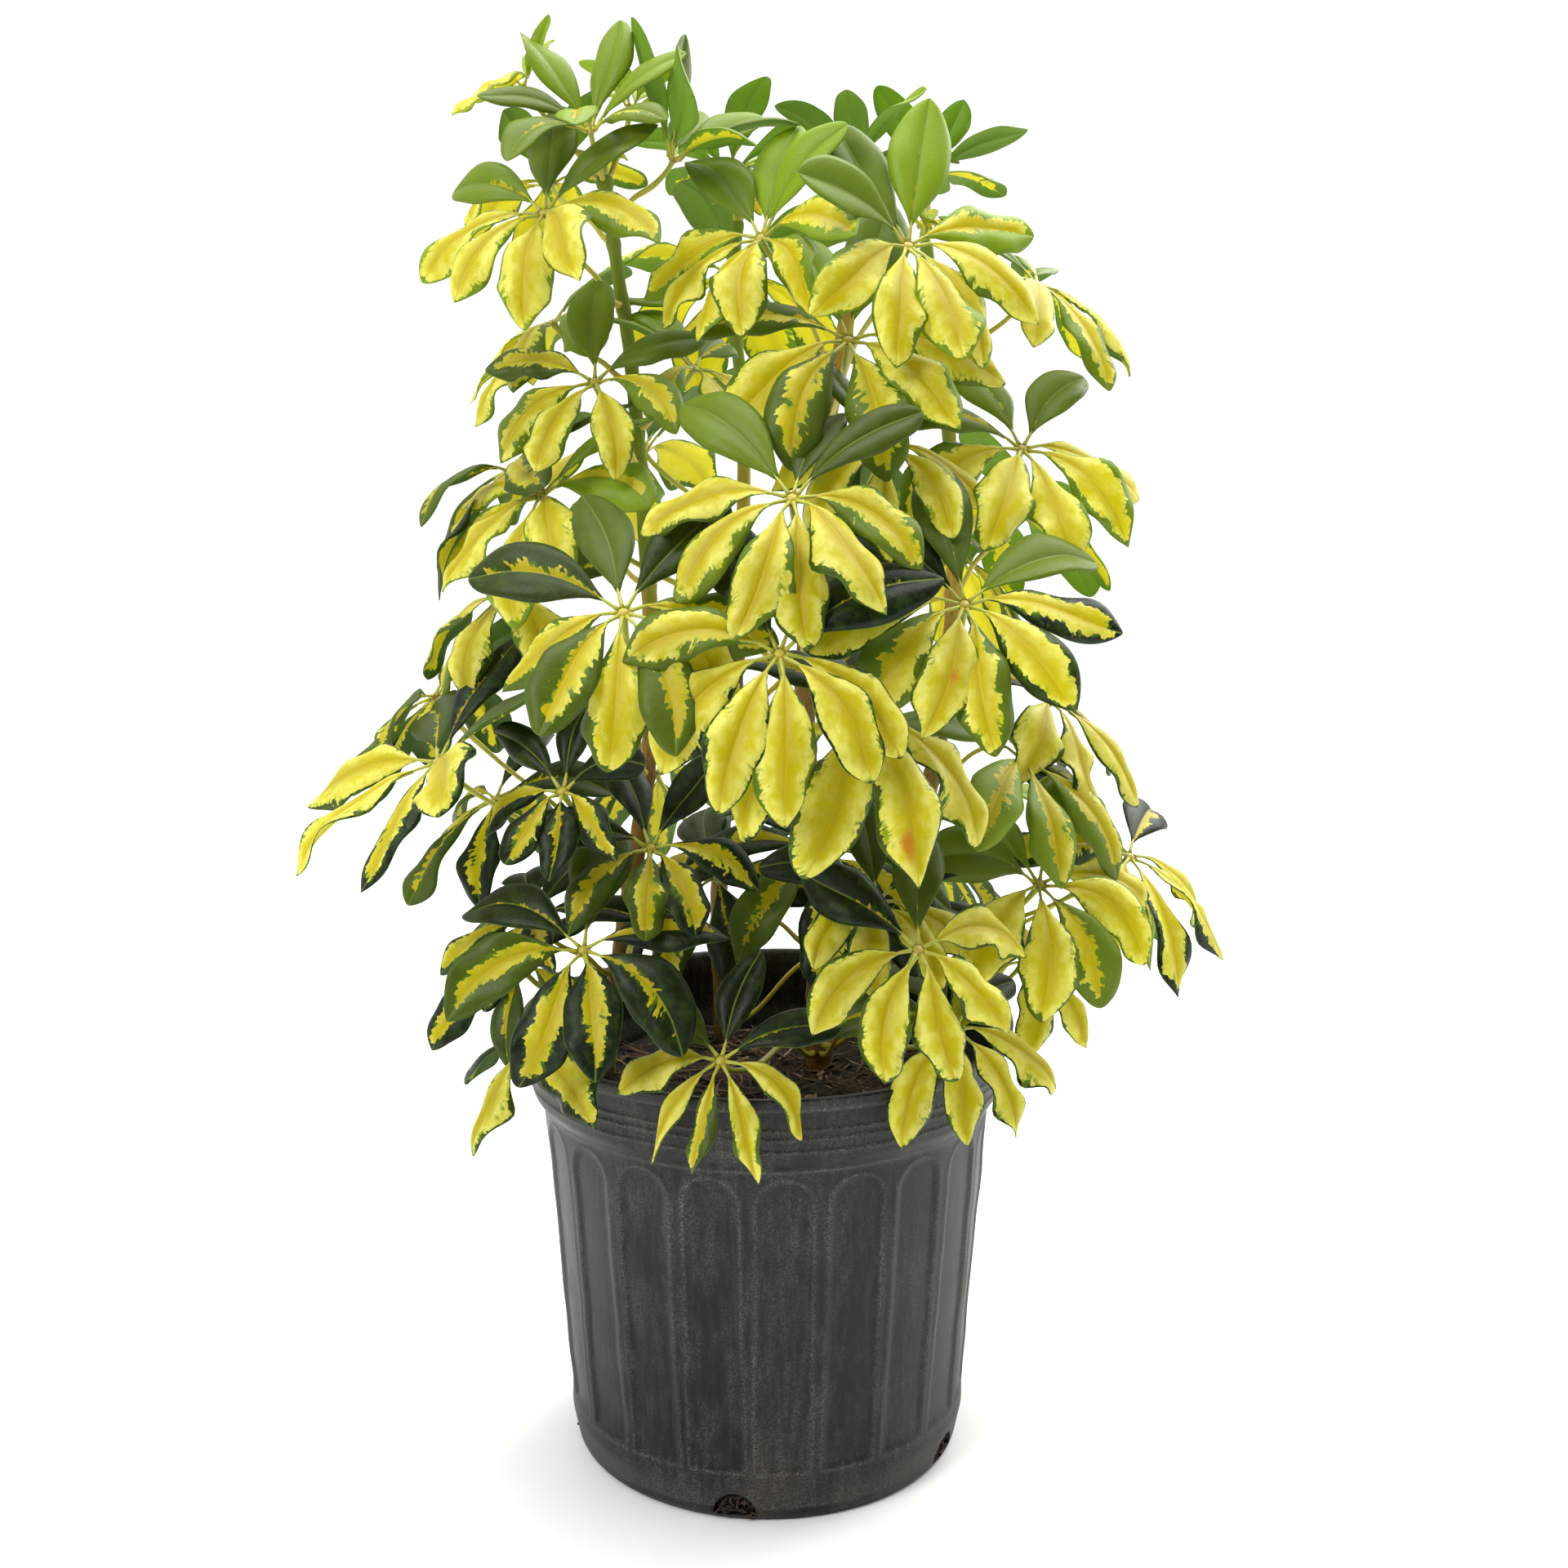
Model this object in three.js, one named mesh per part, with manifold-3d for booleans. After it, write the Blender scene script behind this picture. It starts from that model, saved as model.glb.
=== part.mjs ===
// A potted umbrella plant: a moulded nursery pot, the bark mix in it, four woody stems and their compound
// leaves, each with its leaflets spread round a hub like the ribs of an umbrella.
// Millimetres, +Z up. The origin is the centre of the pot's underside, and -Y is the front.
// A compass bearing is in degrees: 0 is the front, 90 is +X.
import * as THREE from "three";
import { mergeVertices } from "three/addons/utils/BufferGeometryUtils.js";
import Module from "manifold-3d";

const wasm = await Module();
wasm.setup();

// ---------------------------------------------------------------- driving dimensions
const POT_HEIGHT = 250;
const POT_WALL = 2.6;
const POT_FACETS = 40;
const FLOOR_THICKNESS = 3;
const FOOT_RADIUS = 109; // flat underside
const CHAMFER = [[2.6, 3], [4.4, 12], [6, 22]]; // how the foot widens above it, as [outward, up]
const WALL_FOOT = { radius: 114.4, z: 27 }; // the wall between the chamfered foot and the rim band
const WALL_TOP = { radius: 127, z: 205 };
const BAND_RADIUS = 136.5; // the stepped band under the lip
const BAND_DRAFT = 2.5; // how much narrower the band is at its foot
const BAND_FOOT = 214;
const BAND_SHOULDER = 2; // how far above the band's foot the wall inside has widened too
const LIP_RADIUS = 141;
const LIP_HEIGHT = 8;
const LIP_THICKNESS = 4;
const LIP_DRAFT = 1; // how much narrower the lip is at its middle
const INSIDE_CHAMFER = [3.8, 9]; // the floor's edge inside, outward of the foot and above the underside

const PANEL_COUNT = 20; // arched panels pressed into the wall
const PANEL_BEARING = 4.8;
const PANEL_WIDTH = 30;
const PANEL_FOOT = 30;
const PANEL_TOP = 201;
const PANEL_DEPTH = 1.5;
const CUT_BEYOND = 5; // how far a cutter runs past what it cuts

const DRAIN_COUNT = 5; // half-round drain holes along the foot
const DRAIN_BEARING = -8.5;
const DRAIN_WIDTH = 24;
const DRAIN_HEIGHT = 14;
const DRAIN_FOOT = 3.5;
const DRAIN_CUT = 20; // how far inside the foot's radius a drain hole starts

const MIX_LEVEL = 204; // mean height of the bark mix
const MIX_LUMP = 3;
const MIX_WAVES = { along: 17, bend: 23, across: 13, slant: 31 }; // how wide its lumps are
const MIX_RINGS = 2;
const ARC_STEPS = 2; // on each quarter of a rounded cut
const SEAT_GAP = 0.3; // what touching pieces keep between them

const STEM_ROOT = 140; // the stems go straight down into the mix to this height
const STEM_STRAIGHT_TOP = 214;
const STEM_BEND = 6; // the length over which the straight root turns into the stem's curve
const STEM_SIDES = 6;
const STEM_STEPS = 10;

const PETIOLE_RADIUS = 1.3;
const PETIOLE_FOOT_RADIUS = 2.1; // the swollen base that sits on the stem
const PETIOLE_STEPS = 3;
const PETIOLE_RISE = 0.62; // how much a petiole climbs for each millimetre that it reaches out
const PETIOLE_LOWEST = 212;
const PETIOLE_TIP_GAP = 5; // how far below a stem's tip its last petiole leaves it
const PETIOLE_CLIMB = 45; // degrees above level at the stem

const HUB_VALLEY = 2.2; // the hub's radius between two leaflets, and under a leaflet's rib
const HUB_RIDGE = 3;
const HUB_HALF_HEIGHT = 0.9;
const HUB_CROWN = 1.7;
const HUB_DEPTH = 3.6;

// Where a leaflet's sections lie along it, from the end of its short stalk to its widest part, with the
// half width there as a share of the length, and the thickness at the midrib.
const STALK_END = { along: 0.13, halfWidth: 0.014, thickness: 1.4, fold: 0 };
const BLADE_SECTIONS = [
  { along: 0.4, halfWidth: 0.13, thickness: 1.3, fold: 0.22 },
  { along: 0.72, halfWidth: 0.162, thickness: 1.1, fold: 0.18 },
];
// How far leaflets differ at most, in degrees, but for the length, which is a share. Every other leaflet
// stands higher by the stagger and the ones between stand lower.
const VARIETY = { turn: 4, lift: 5, stagger: 5, roll: 12, length: 0.08 };
const USUAL_SAG = 1.25;
const STANDING = 1.05; // the share of its sag that a leaflet loses when it grows straight up
const YOUNG_LENGTH = 45; // a leaf with shorter leaflets is a young one
const GOLDEN_ANGLE = 137.5; // from each leaf of the list to the next

const NEARLY_ALONG = 0.98; // a heading so close to the axis takes its upper side from elsewhere
const CLEARANCE = 0.4; // what crossing blades are parted by
const SPACE_CELL = 16; // the cells that the placed triangles are looked up in
const STALK_STEP = 7; // how far up or down, and how far sideways, a petiole is moved in one try
const STALK_BOW = 14;
const SHORTENING_COST = 140; // a leaflet is turned by this many degrees before it is cut to nothing

// Each stem: the points that its middle passes above the straight root, and its lowest and last radius.
const STEMS = {
  left: {
    path: [[-95, 26, 214], [-88, 20, 260], [-68, 12, 385], [-64, 14, 440], [-72, 24, 590], [-77, 20, 645],
      [-84, 10, 690], [-86, 4, 716]],
    radii: [5.6, 3.2],
  },
  centre: {
    path: [[30, 46, 214], [30, 46, 300], [22, 42, 420], [32, 40, 560], [46, 30, 650], [54, 34, 690]],
    radii: [7.2, 3.8],
  },
  right: {
    path: [[72, 84, 214], [84, 76, 300], [104, 60, 420], [106, 44, 540], [94, 38, 640], [88, 44, 685]],
    radii: [6, 3.2],
  },
  back: {
    path: [[-28, 92, 214], [-30, 96, 300], [-18, 100, 450], [-14, 98, 580], [-20, 84, 670], [-16, 76, 700]],
    radii: [5.6, 3.2],
  },
};

// Each leaf: its stem, its hub, how many leaflets it has and how long they are, how far its axis leans from
// upright and to which bearing (away from the stem where none is given), how far the leaflets lift above the
// plane across that axis, and how much they sag under their weight.
const LEAVES = [
  // the left stem, from the top down
  { stem: "left", hub: [-130, 20, 760], count: 5, length: 40, lean: 35, bearing: -75, lift: 30, sag: 0.6 },
  { stem: "left", hub: [-72, 24, 750], count: 6, length: 34, lean: 10, lift: 50, sag: 0.8 },
  { stem: "left", hub: [-90, -18, 732], count: 7, length: 60, lean: 25, lift: 45, sag: 0.8 },
  { stem: "left", hub: [-48, 0, 720], count: 7, length: 66, lean: 18, lift: 48, sag: 0.6 },
  { stem: "left", hub: [-118, 38, 712], count: 7, length: 60, lean: 30, lift: 30 },
  { stem: "left", hub: [-112, -42, 688], count: 8, length: 74, lean: 40, lift: 28 },
  { stem: "left", hub: [-118, 36, 638], count: 7, length: 70, lean: 28, lift: 15, bearing: -70 },
  { stem: "left", hub: [-88, -40, 604], count: 7, length: 62, lean: 42, lift: 22 },
  { stem: "left", hub: [-38, -4, 612], count: 7, length: 60, lean: 30, lift: 22 },
  { stem: "left", hub: [-118, -34, 546], count: 8, length: 78, lean: 38, lift: 20 },
  { stem: "left", hub: [-146, 34, 488], count: 7, length: 78, lean: 32, lift: 15, bearing: -60 },
  { stem: "left", hub: [-66, -146, 495], count: 9, length: 76, lean: 42, lift: 14 },
  { stem: "left", hub: [-200, 84, 422], count: 7, length: 80, lean: 40, lift: 10 },
  { stem: "left", hub: [-176, -42, 405], count: 7, length: 90, lean: 34, lift: 18, sag: 0.7 },
  { stem: "left", hub: [-105, -80, 396], count: 7, length: 54, lean: 40, lift: 28 },
  { stem: "left", hub: [-160, 50, 366], count: 7, length: 76, lean: 30, lift: 12, bearing: -60 },
  { stem: "left", hub: [-60, -72, 364], count: 7, length: 64, lean: 35, lift: 30 },
  { stem: "left", hub: [-92, -112, 320], count: 7, length: 76, lean: 42, lift: 22 },
  { stem: "left", hub: [-132, -50, 292], count: 5, length: 62, lean: 30, lift: 15 },
  { stem: "left", hub: [-125, -90, 262], count: 4, length: 68, lean: 25, lift: 12, bearing: -45 },
  { stem: "left", hub: [-128, -28, 314], count: 7, length: 64, lean: 22, lift: 28 },
  // the centre stem
  { stem: "centre", hub: [50, 56, 724], count: 7, length: 56, lean: 15, lift: 40, sag: 0.7 },
  { stem: "centre", hub: [-2, -40, 676], count: 9, length: 72, lean: 44, lift: 28 },
  { stem: "centre", hub: [72, -62, 670], count: 9, length: 76, lean: 44, lift: 25 },
  { stem: "centre", hub: [42, -66, 624], count: 8, length: 80, lean: 44, lift: 22 },
  { stem: "centre", hub: [60, -84, 572], count: 7, length: 66, lean: 40, lift: 15 },
  { stem: "centre", hub: [14, -130, 548], count: 9, length: 80, lean: 44, lift: 18 },
  { stem: "centre", hub: [-140, 10, 558], count: 7, length: 78, lean: 35, lift: 14 },
  { stem: "centre", hub: [8, -168, 478], count: 9, length: 82, lean: 46, lift: 10 },
  { stem: "centre", hub: [46, -144, 448], count: 7, length: 92, lean: 38, lift: 0 },
  { stem: "centre", hub: [140, -30, 404], count: 7, length: 84, lean: 35, lift: 15 },
  { stem: "centre", hub: [32, -30, 352], count: 7, length: 86, lean: 30, lift: 15 },
  { stem: "centre", hub: [58, -98, 342], count: 7, length: 60, lean: 38, lift: 25 },
  { stem: "centre", hub: [76, -140, 328], count: 7, length: 66, lean: 40, lift: 12 },
  { stem: "centre", hub: [-22, -132, 268], count: 8, length: 60, lean: 42, lift: 18 },
  { stem: "centre", hub: [98, -100, 274], count: 7, length: 66, lean: 30, lift: 12 },
  { stem: "centre", hub: [-30, -10, 334], count: 7, length: 80, lean: 28, lift: 15 },
  // the right stem
  { stem: "right", hub: [92, 84, 722], count: 7, length: 58, lean: 20, lift: 38, sag: 0.7 },
  { stem: "right", hub: [146, 4, 656], count: 7, length: 68, lean: 30, lift: 12, bearing: 60 },
  { stem: "right", hub: [134, -40, 570], count: 8, length: 78, lean: 38, lift: 20 },
  { stem: "right", hub: [98, -118, 496], count: 9, length: 78, lean: 42, lift: 18 },
  { stem: "right", hub: [144, 96, 530], count: 7, length: 80, lean: 32, lift: 20 },
  { stem: "right", hub: [160, 10, 430], count: 7, length: 72, lean: 32, lift: 10, bearing: 60 },
  { stem: "right", hub: [146, -62, 342], count: 8, length: 76, lean: 38, lift: 20 },
  { stem: "right", hub: [206, 4, 342], count: 7, length: 80, lean: 36, lift: 15, bearing: 45 },
  { stem: "right", hub: [206, 84, 318], count: 7, length: 84, lean: 35, lift: 15 },
  { stem: "right", hub: [146, -8, 284], count: 6, length: 60, lean: 28, lift: 12 },
  // the back stem
  { stem: "back", hub: [-22, 104, 726], count: 7, length: 60, lean: 15, lift: 38, sag: 0.7 },
  { stem: "back", hub: [-20, 140, 670], count: 7, length: 88, lean: 38, lift: 15 },
  { stem: "back", hub: [-76, 134, 566], count: 7, length: 90, lean: 38, lift: 15 },
  { stem: "back", hub: [116, 144, 504], count: 7, length: 88, lean: 40, lift: 12 },
  { stem: "back", hub: [-72, 154, 362], count: 7, length: 92, lean: 40, lift: 12 },
  { stem: "back", hub: [108, 146, 308], count: 7, length: 92, lean: 38, lift: 12 },
];

const MATERIALS = {
  pot: new THREE.MeshStandardMaterial({ color: "#373937", roughness: 0.62, metalness: 0 }),
  mix: new THREE.MeshStandardMaterial({ color: "#4a3020", roughness: 0.95, metalness: 0 }),
  stem: new THREE.MeshStandardMaterial({ color: "#8a6a3c", roughness: 0.8, metalness: 0 }),
  youngLeaf: new THREE.MeshStandardMaterial({ color: "#a9bb3e", roughness: 0.4, metalness: 0 }),
  leaf: new THREE.MeshStandardMaterial({ color: "#8fa338", roughness: 0.38, metalness: 0 }),
};

// ---------------------------------------------------------------- helpers
const UP = new THREE.Vector3(0, 0, 1);
const radians = THREE.MathUtils.degToRad;
const vector = ([x, y, z]) => new THREE.Vector3(x, y, z);
const towards = (bearing) => vector([Math.sin(radians(bearing)), -Math.cos(radians(bearing)), 0]);
const square = (direction, along) => direction.clone().projectOnPlane(along).normalize();

// Even draws between -1 and 1 that repeat for the same seed.
function seededDraws(seed) {
  let state = seed * 2654435761 >>> 0;
  return () => {
    state = (state + 0x6d2b79f5) >>> 0;
    let mixed = Math.imul(state ^ (state >>> 15), 1 | state);
    mixed = (mixed + Math.imul(mixed ^ (mixed >>> 7), 61 | mixed)) ^ mixed;
    return ((mixed ^ (mixed >>> 14)) >>> 0) / 2 ** 31 - 1;
  };
}

function solidOf(geometry) {
  const bare = new THREE.BufferGeometry();
  bare.setAttribute("position", geometry.getAttribute("position"));
  if (geometry.index) bare.setIndex(geometry.index);
  const merged = mergeVertices(bare, 1e-4);
  const mesh = new wasm.Mesh({
    numProp: 3,
    vertProperties: new Float32Array(merged.getAttribute("position").array),
    triVerts: new Uint32Array(merged.index.array),
  });
  return new wasm.Manifold(mesh);
}

function geometryOf(solid) {
  const { vertProperties, triVerts } = solid.getMesh();
  const geometry = new THREE.BufferGeometry();
  geometry.setAttribute("position", new THREE.BufferAttribute(new Float32Array(vertProperties), 3));
  geometry.setIndex(new THREE.BufferAttribute(new Uint32Array(triVerts), 1));
  return geometry;
}

// A closed skin of shared vertices and triangles.
class Skin {
  points = [];
  faces = [];

  add(point) {
    return this.points.push(point.clone()) - 1;
  }

  ring(points) {
    return points.map((point) => this.add(point));
  }

  // Joins two rings of one size. The rings run clockwise seen from the second one.
  // The diagonals run from the first ring's even corners, so that a blade's two faces are split alike.
  band(near, far) {
    near.forEach((corner, j) => {
      const next = (j + 1) % near.length;
      if (j % 2 === 0) this.faces.push([corner, far[next], near[next]], [corner, far[j], far[next]]);
      else this.faces.push([corner, far[j], near[next]], [near[next], far[j], far[next]]);
    });
  }

  fan(centre, ring) {
    ring.forEach((corner, j) => this.faces.push([centre, corner, ring[(j + 1) % ring.length]]));
  }

  // Joins two rings of different sizes that start at one bearing. Both run counter-clockwise seen from above.
  stitch(upper, lower) {
    let [i, j] = [0, 0];
    while (i < upper.length || j < lower.length) {
      const [top, bottom] = [upper[i % upper.length], lower[j % lower.length]];
      if ((i + 1) / upper.length <= (j + 1) / lower.length) {
        this.faces.push([top, bottom, upper[(i + 1) % upper.length]]);
        i += 1;
      } else {
        this.faces.push([top, bottom, lower[(j + 1) % lower.length]]);
        j += 1;
      }
    }
  }

  triangles(faces = this.faces) {
    return faces.map((face) => face.map((corner) => this.points[corner]));
  }

  geometry() {
    const geometry = new THREE.BufferGeometry().setFromPoints(this.points);
    geometry.setIndex(this.faces.flat());
    return geometry;
  }
}

// A tube with closed ends and a radius of its own at each point of its path.
function sweptTube(path, radii, sides) {
  const skin = new Skin();
  let reference = new THREE.Vector3(1, 0, 0);
  const rings = path.map((point, k) => {
    const ahead = path[Math.min(k + 1, path.length - 1)];
    const along = ahead.clone().sub(path[Math.max(k - 1, 0)]).normalize();
    reference = square(reference, along);
    const across = along.clone().cross(reference);
    return skin.ring(Array.from({ length: sides }, (_, j) => {
      const turn = (-2 * Math.PI * j) / sides;
      return point.clone().addScaledVector(reference, radii[k] * Math.cos(turn))
        .addScaledVector(across, radii[k] * Math.sin(turn));
    }));
  });
  rings.slice(1).forEach((ring, k) => skin.band(rings[k], ring));
  skin.fan(skin.add(path[0]), rings[0]);
  skin.fan(skin.add(path.at(-1)), [...rings.at(-1)].reverse());
  return skin;
}

// ---------------------------------------------------------------- clearing leaves of each other
const probe = new THREE.Ray();
const struck = new THREE.Vector3();

function edgeCrosses(start, end, [a, b, c]) {
  probe.origin.copy(start);
  probe.direction.subVectors(end, start);
  const length = probe.direction.length();
  probe.direction.divideScalar(length);
  return probe.intersectTriangle(a, b, c, false, struck) !== null && struck.distanceTo(start) <= length;
}

const anyEdgeCrosses = (one, other) => one.some((start, k) => edgeCrosses(start, one[(k + 1) % 3], other));
const trianglesCross = (one, other) => anyEdgeCrosses(one, other) || anyEdgeCrosses(other, one);

// Remembers the triangles that are placed, cell by cell, and tells whether new ones would cross them.
class TakenSpace {
  cells = new Map();

  *cellsOf(box) {
    const [low, high] = [box.min, box.max].map((corner) => corner.clone().divideScalar(SPACE_CELL).floor());
    for (let x = low.x; x <= high.x; x += 1) {
      for (let y = low.y; y <= high.y; y += 1) {
        for (let z = low.z; z <= high.z; z += 1) yield `${x},${y},${z}`;
      }
    }
  }

  add(triangles, owner) {
    for (const corners of triangles) {
      const taken = { corners, owner, box: new THREE.Box3().setFromPoints(corners) };
      for (const cell of this.cellsOf(taken.box)) {
        if (!this.cells.has(cell)) this.cells.set(cell, []);
        this.cells.get(cell).push(taken);
      }
    }
  }

  crosses(triangles, exceptOwner) {
    return triangles.some((corners) => {
      const box = new THREE.Box3().setFromPoints(corners);
      for (const cell of this.cellsOf(box)) {
        for (const taken of this.cells.get(cell) ?? []) {
          if (taken.owner === exceptOwner || !taken.box.intersectsBox(box)) continue;
          if (trianglesCross(corners, taken.corners)) return true;
        }
      }
      return false;
    });
  }
}

// ---------------------------------------------------------------- the pot and its mix
function turned(profile) {
  const points = profile.map(([radius, z]) => new THREE.Vector2(radius, z));
  const lathe = new THREE.LatheGeometry(points, POT_FACETS, radians(PANEL_BEARING));
  return solidOf(lathe.rotateX(Math.PI / 2));
}

// The outside of the pot from its underside to its lip, as [radius, z].
const potOutside = () => [
  [0, 0], [FOOT_RADIUS, 0], ...CHAMFER.map(([outward, up]) => [FOOT_RADIUS + outward, up]),
  [WALL_FOOT.radius, WALL_FOOT.z], [WALL_TOP.radius, WALL_TOP.z], [BAND_RADIUS - BAND_DRAFT, BAND_FOOT],
  [BAND_RADIUS, POT_HEIGHT - LIP_HEIGHT], [LIP_RADIUS - LIP_DRAFT, POT_HEIGHT - LIP_HEIGHT / 2],
  [LIP_RADIUS, POT_HEIGHT],
];

function wallRadius(z) {
  return THREE.MathUtils.mapLinear(z, WALL_FOOT.z, WALL_TOP.z, WALL_FOOT.radius, WALL_TOP.radius);
}

// The inside of the pot from the middle of its floor up to a height, as [radius, z], with a gap for its fill.
function potInside(top, gap) {
  const inset = POT_WALL + gap;
  return [
    [0, FLOOR_THICKNESS + gap], [FOOT_RADIUS - inset, FLOOR_THICKNESS + gap],
    [FOOT_RADIUS + INSIDE_CHAMFER[0] - inset, INSIDE_CHAMFER[1] + gap],
    [WALL_FOOT.radius - inset, WALL_FOOT.z], [wallRadius(top) - inset, top],
  ];
}

function radialCutter(shape, bearing, [near, far]) {
  const plain = { depth: far - near, bevelEnabled: false, curveSegments: ARC_STEPS };
  const cutter = new THREE.ExtrudeGeometry(shape, plain);
  cutter.rotateX(Math.PI / 2).translate(0, -near, 0).rotateZ(radians(bearing));
  return solidOf(cutter);
}

function allRound(shape, count, firstBearing, reach) {
  return Array.from({ length: count }, (_, k) => radialCutter(shape, firstBearing + (360 * k) / count, reach))
    .reduce((joined, cutter) => joined.add(cutter));
}

function panelShape() {
  const half = PANEL_WIDTH / 2;
  const shape = new THREE.Shape();
  shape.moveTo(-half, PANEL_FOOT).lineTo(half, PANEL_FOOT).lineTo(half, PANEL_TOP - half);
  shape.absarc(0, PANEL_TOP - half, half, 0, Math.PI, false);
  return shape;
}

function drainShape() {
  const half = DRAIN_WIDTH / 2;
  const shape = new THREE.Shape();
  shape.moveTo(-half, DRAIN_FOOT).lineTo(half, DRAIN_FOOT);
  shape.absellipse(0, DRAIN_FOOT, half, DRAIN_HEIGHT, 0, Math.PI, false, 0);
  return shape;
}

function nurseryPot() {
  const lipInside = [
    [BAND_RADIUS - BAND_DRAFT - POT_WALL, BAND_FOOT + BAND_SHOULDER],
    [BAND_RADIUS - POT_WALL, POT_HEIGHT - LIP_HEIGHT],
    [LIP_RADIUS - LIP_THICKNESS, POT_HEIGHT],
  ];
  const body = turned([...potOutside(), ...[...potInside(WALL_TOP.z, 0), ...lipInside].reverse()]);
  const recess = turned([
    [WALL_FOOT.radius - PANEL_DEPTH, WALL_FOOT.z], [LIP_RADIUS, WALL_FOOT.z],
    [LIP_RADIUS, WALL_TOP.z], [WALL_TOP.radius - PANEL_DEPTH, WALL_TOP.z],
    [WALL_FOOT.radius - PANEL_DEPTH, WALL_FOOT.z],
  ]);
  const panels = allRound(panelShape(), PANEL_COUNT, PANEL_BEARING, [FOOT_RADIUS, LIP_RADIUS + CUT_BEYOND]);
  const drains = allRound(drainShape(), DRAIN_COUNT, DRAIN_BEARING, [FOOT_RADIUS - DRAIN_CUT, LIP_RADIUS]);
  return geometryOf(body.subtract(recess.intersect(panels)).subtract(drains));
}

// The lumps of the mix, as a height above or below its mean level.
function lump(x, y) {
  const { along, bend, across, slant } = MIX_WAVES;
  const wave = Math.sin(x / along + 2 * Math.sin(y / bend));
  const cross = Math.cos(y / across + x / slant);
  return (MIX_LUMP * (wave + cross)) / 2;
}

function pottingMix(stems) {
  const inside = potInside(MIX_LEVEL - 2 * MIX_LUMP, SEAT_GAP);
  const edge = inside.at(-1)[0];
  const surface = Array.from({ length: MIX_RINGS }, (_, k) => [edge * (1 - k / MIX_RINGS), MIX_LEVEL]);
  const filled = turned([...inside, ...surface, [0, MIX_LEVEL]]);
  const bumpy = geometryOf(filled);
  const position = bumpy.getAttribute("position");
  for (let k = 0; k < position.count; k += 1) {
    if (position.getZ(k) < MIX_LEVEL - 1) continue;
    position.setZ(k, MIX_LEVEL + lump(position.getX(k), position.getY(k)));
  }
  const holes = stems.map((stem) => solidOf(stem.hole().geometry()));
  return geometryOf(holes.reduce((left, hole) => left.subtract(hole), solidOf(bumpy)));
}

// ---------------------------------------------------------------- stems
class Stem {
  constructor({ path, radii: [low, tip] }) {
    this.foot = vector(path[0]).setZ(STEM_ROOT);
    this.curve = new THREE.CatmullRomCurve3(path.map(vector), false, "centripetal");
    this.samples = this.curve.getSpacedPoints(STEM_STEPS);
    this.low = low;
    const radii = this.samples.map((_, k) => THREE.MathUtils.lerp(low, tip, k / STEM_STEPS));
    const root = [this.foot, this.foot.clone().setZ(STEM_STRAIGHT_TOP - STEM_BEND)];
    this.skin = sweptTube([...root, ...this.samples], [low, low, ...radii], STEM_SIDES);
    const corners = this.skin.points.slice(root.length * STEM_SIDES);
    this.sections = this.samples.map((_, k) => corners.slice(k * STEM_SIDES, (k + 1) * STEM_SIDES));
  }

  // The plain hole that the stem stands in.
  hole() {
    const radius = this.low + SEAT_GAP / Math.cos(Math.PI / STEM_SIDES);
    const [floor, mouth] = [STEM_ROOT - SEAT_GAP, STEM_STRAIGHT_TOP].map((z) => this.foot.clone().setZ(z));
    return sweptTube([floor, mouth], [radius, radius], STEM_SIDES);
  }

  // The stem's middle, direction and corners where it passes a height, from its first sample to its last.
  at(height) {
    const above = this.samples.findIndex((sample) => sample.z >= height);
    const top = above < 0 ? STEM_STEPS : Math.max(above, 1);
    const [under, over] = [this.samples[top - 1], this.samples[top]];
    const share = THREE.MathUtils.clamp((height - under.z) / (over.z - under.z), 0, 1);
    return {
      middle: under.clone().lerp(over, share),
      along: over.clone().sub(under).normalize(),
      corners: this.sections[top - 1].map((corner, j) => corner.clone().lerp(this.sections[top][j], share)),
    };
  }
}

// ---------------------------------------------------------------- compound leaves
// Small changes that are tried in turn, the mildest first, until a piece is clear of what is placed.
const STALK_TRIES = [0, 1, -1, 2, -2, 3, -3, 4, -4, 5, -5].flatMap((steps) =>
  [0, 1, -1, 2, -2].map((bows) => ({ climb: steps * STALK_STEP, bow: bows * STALK_BOW })))
  .sort((one, other) => detour(one) - detour(other));
const LEAFLET_TRIES = [1, 0.9, 0.8, 0.7, 0.6].flatMap((size) =>
  [0, 9, -9, 18, -18, 27, -27, 40, -40].flatMap((lift) =>
    [0, 8, -8, 15, -15].map((turn) => ({ size, lift, turn }))))
  .sort((one, other) => effort(one) - effort(other));

function detour({ climb, bow }) {
  return Math.abs(climb) + Math.abs(bow);
}

function effort({ size, lift, turn }) {
  return (1 - size) * SHORTENING_COST + Math.abs(lift) + Math.abs(turn);
}

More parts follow.
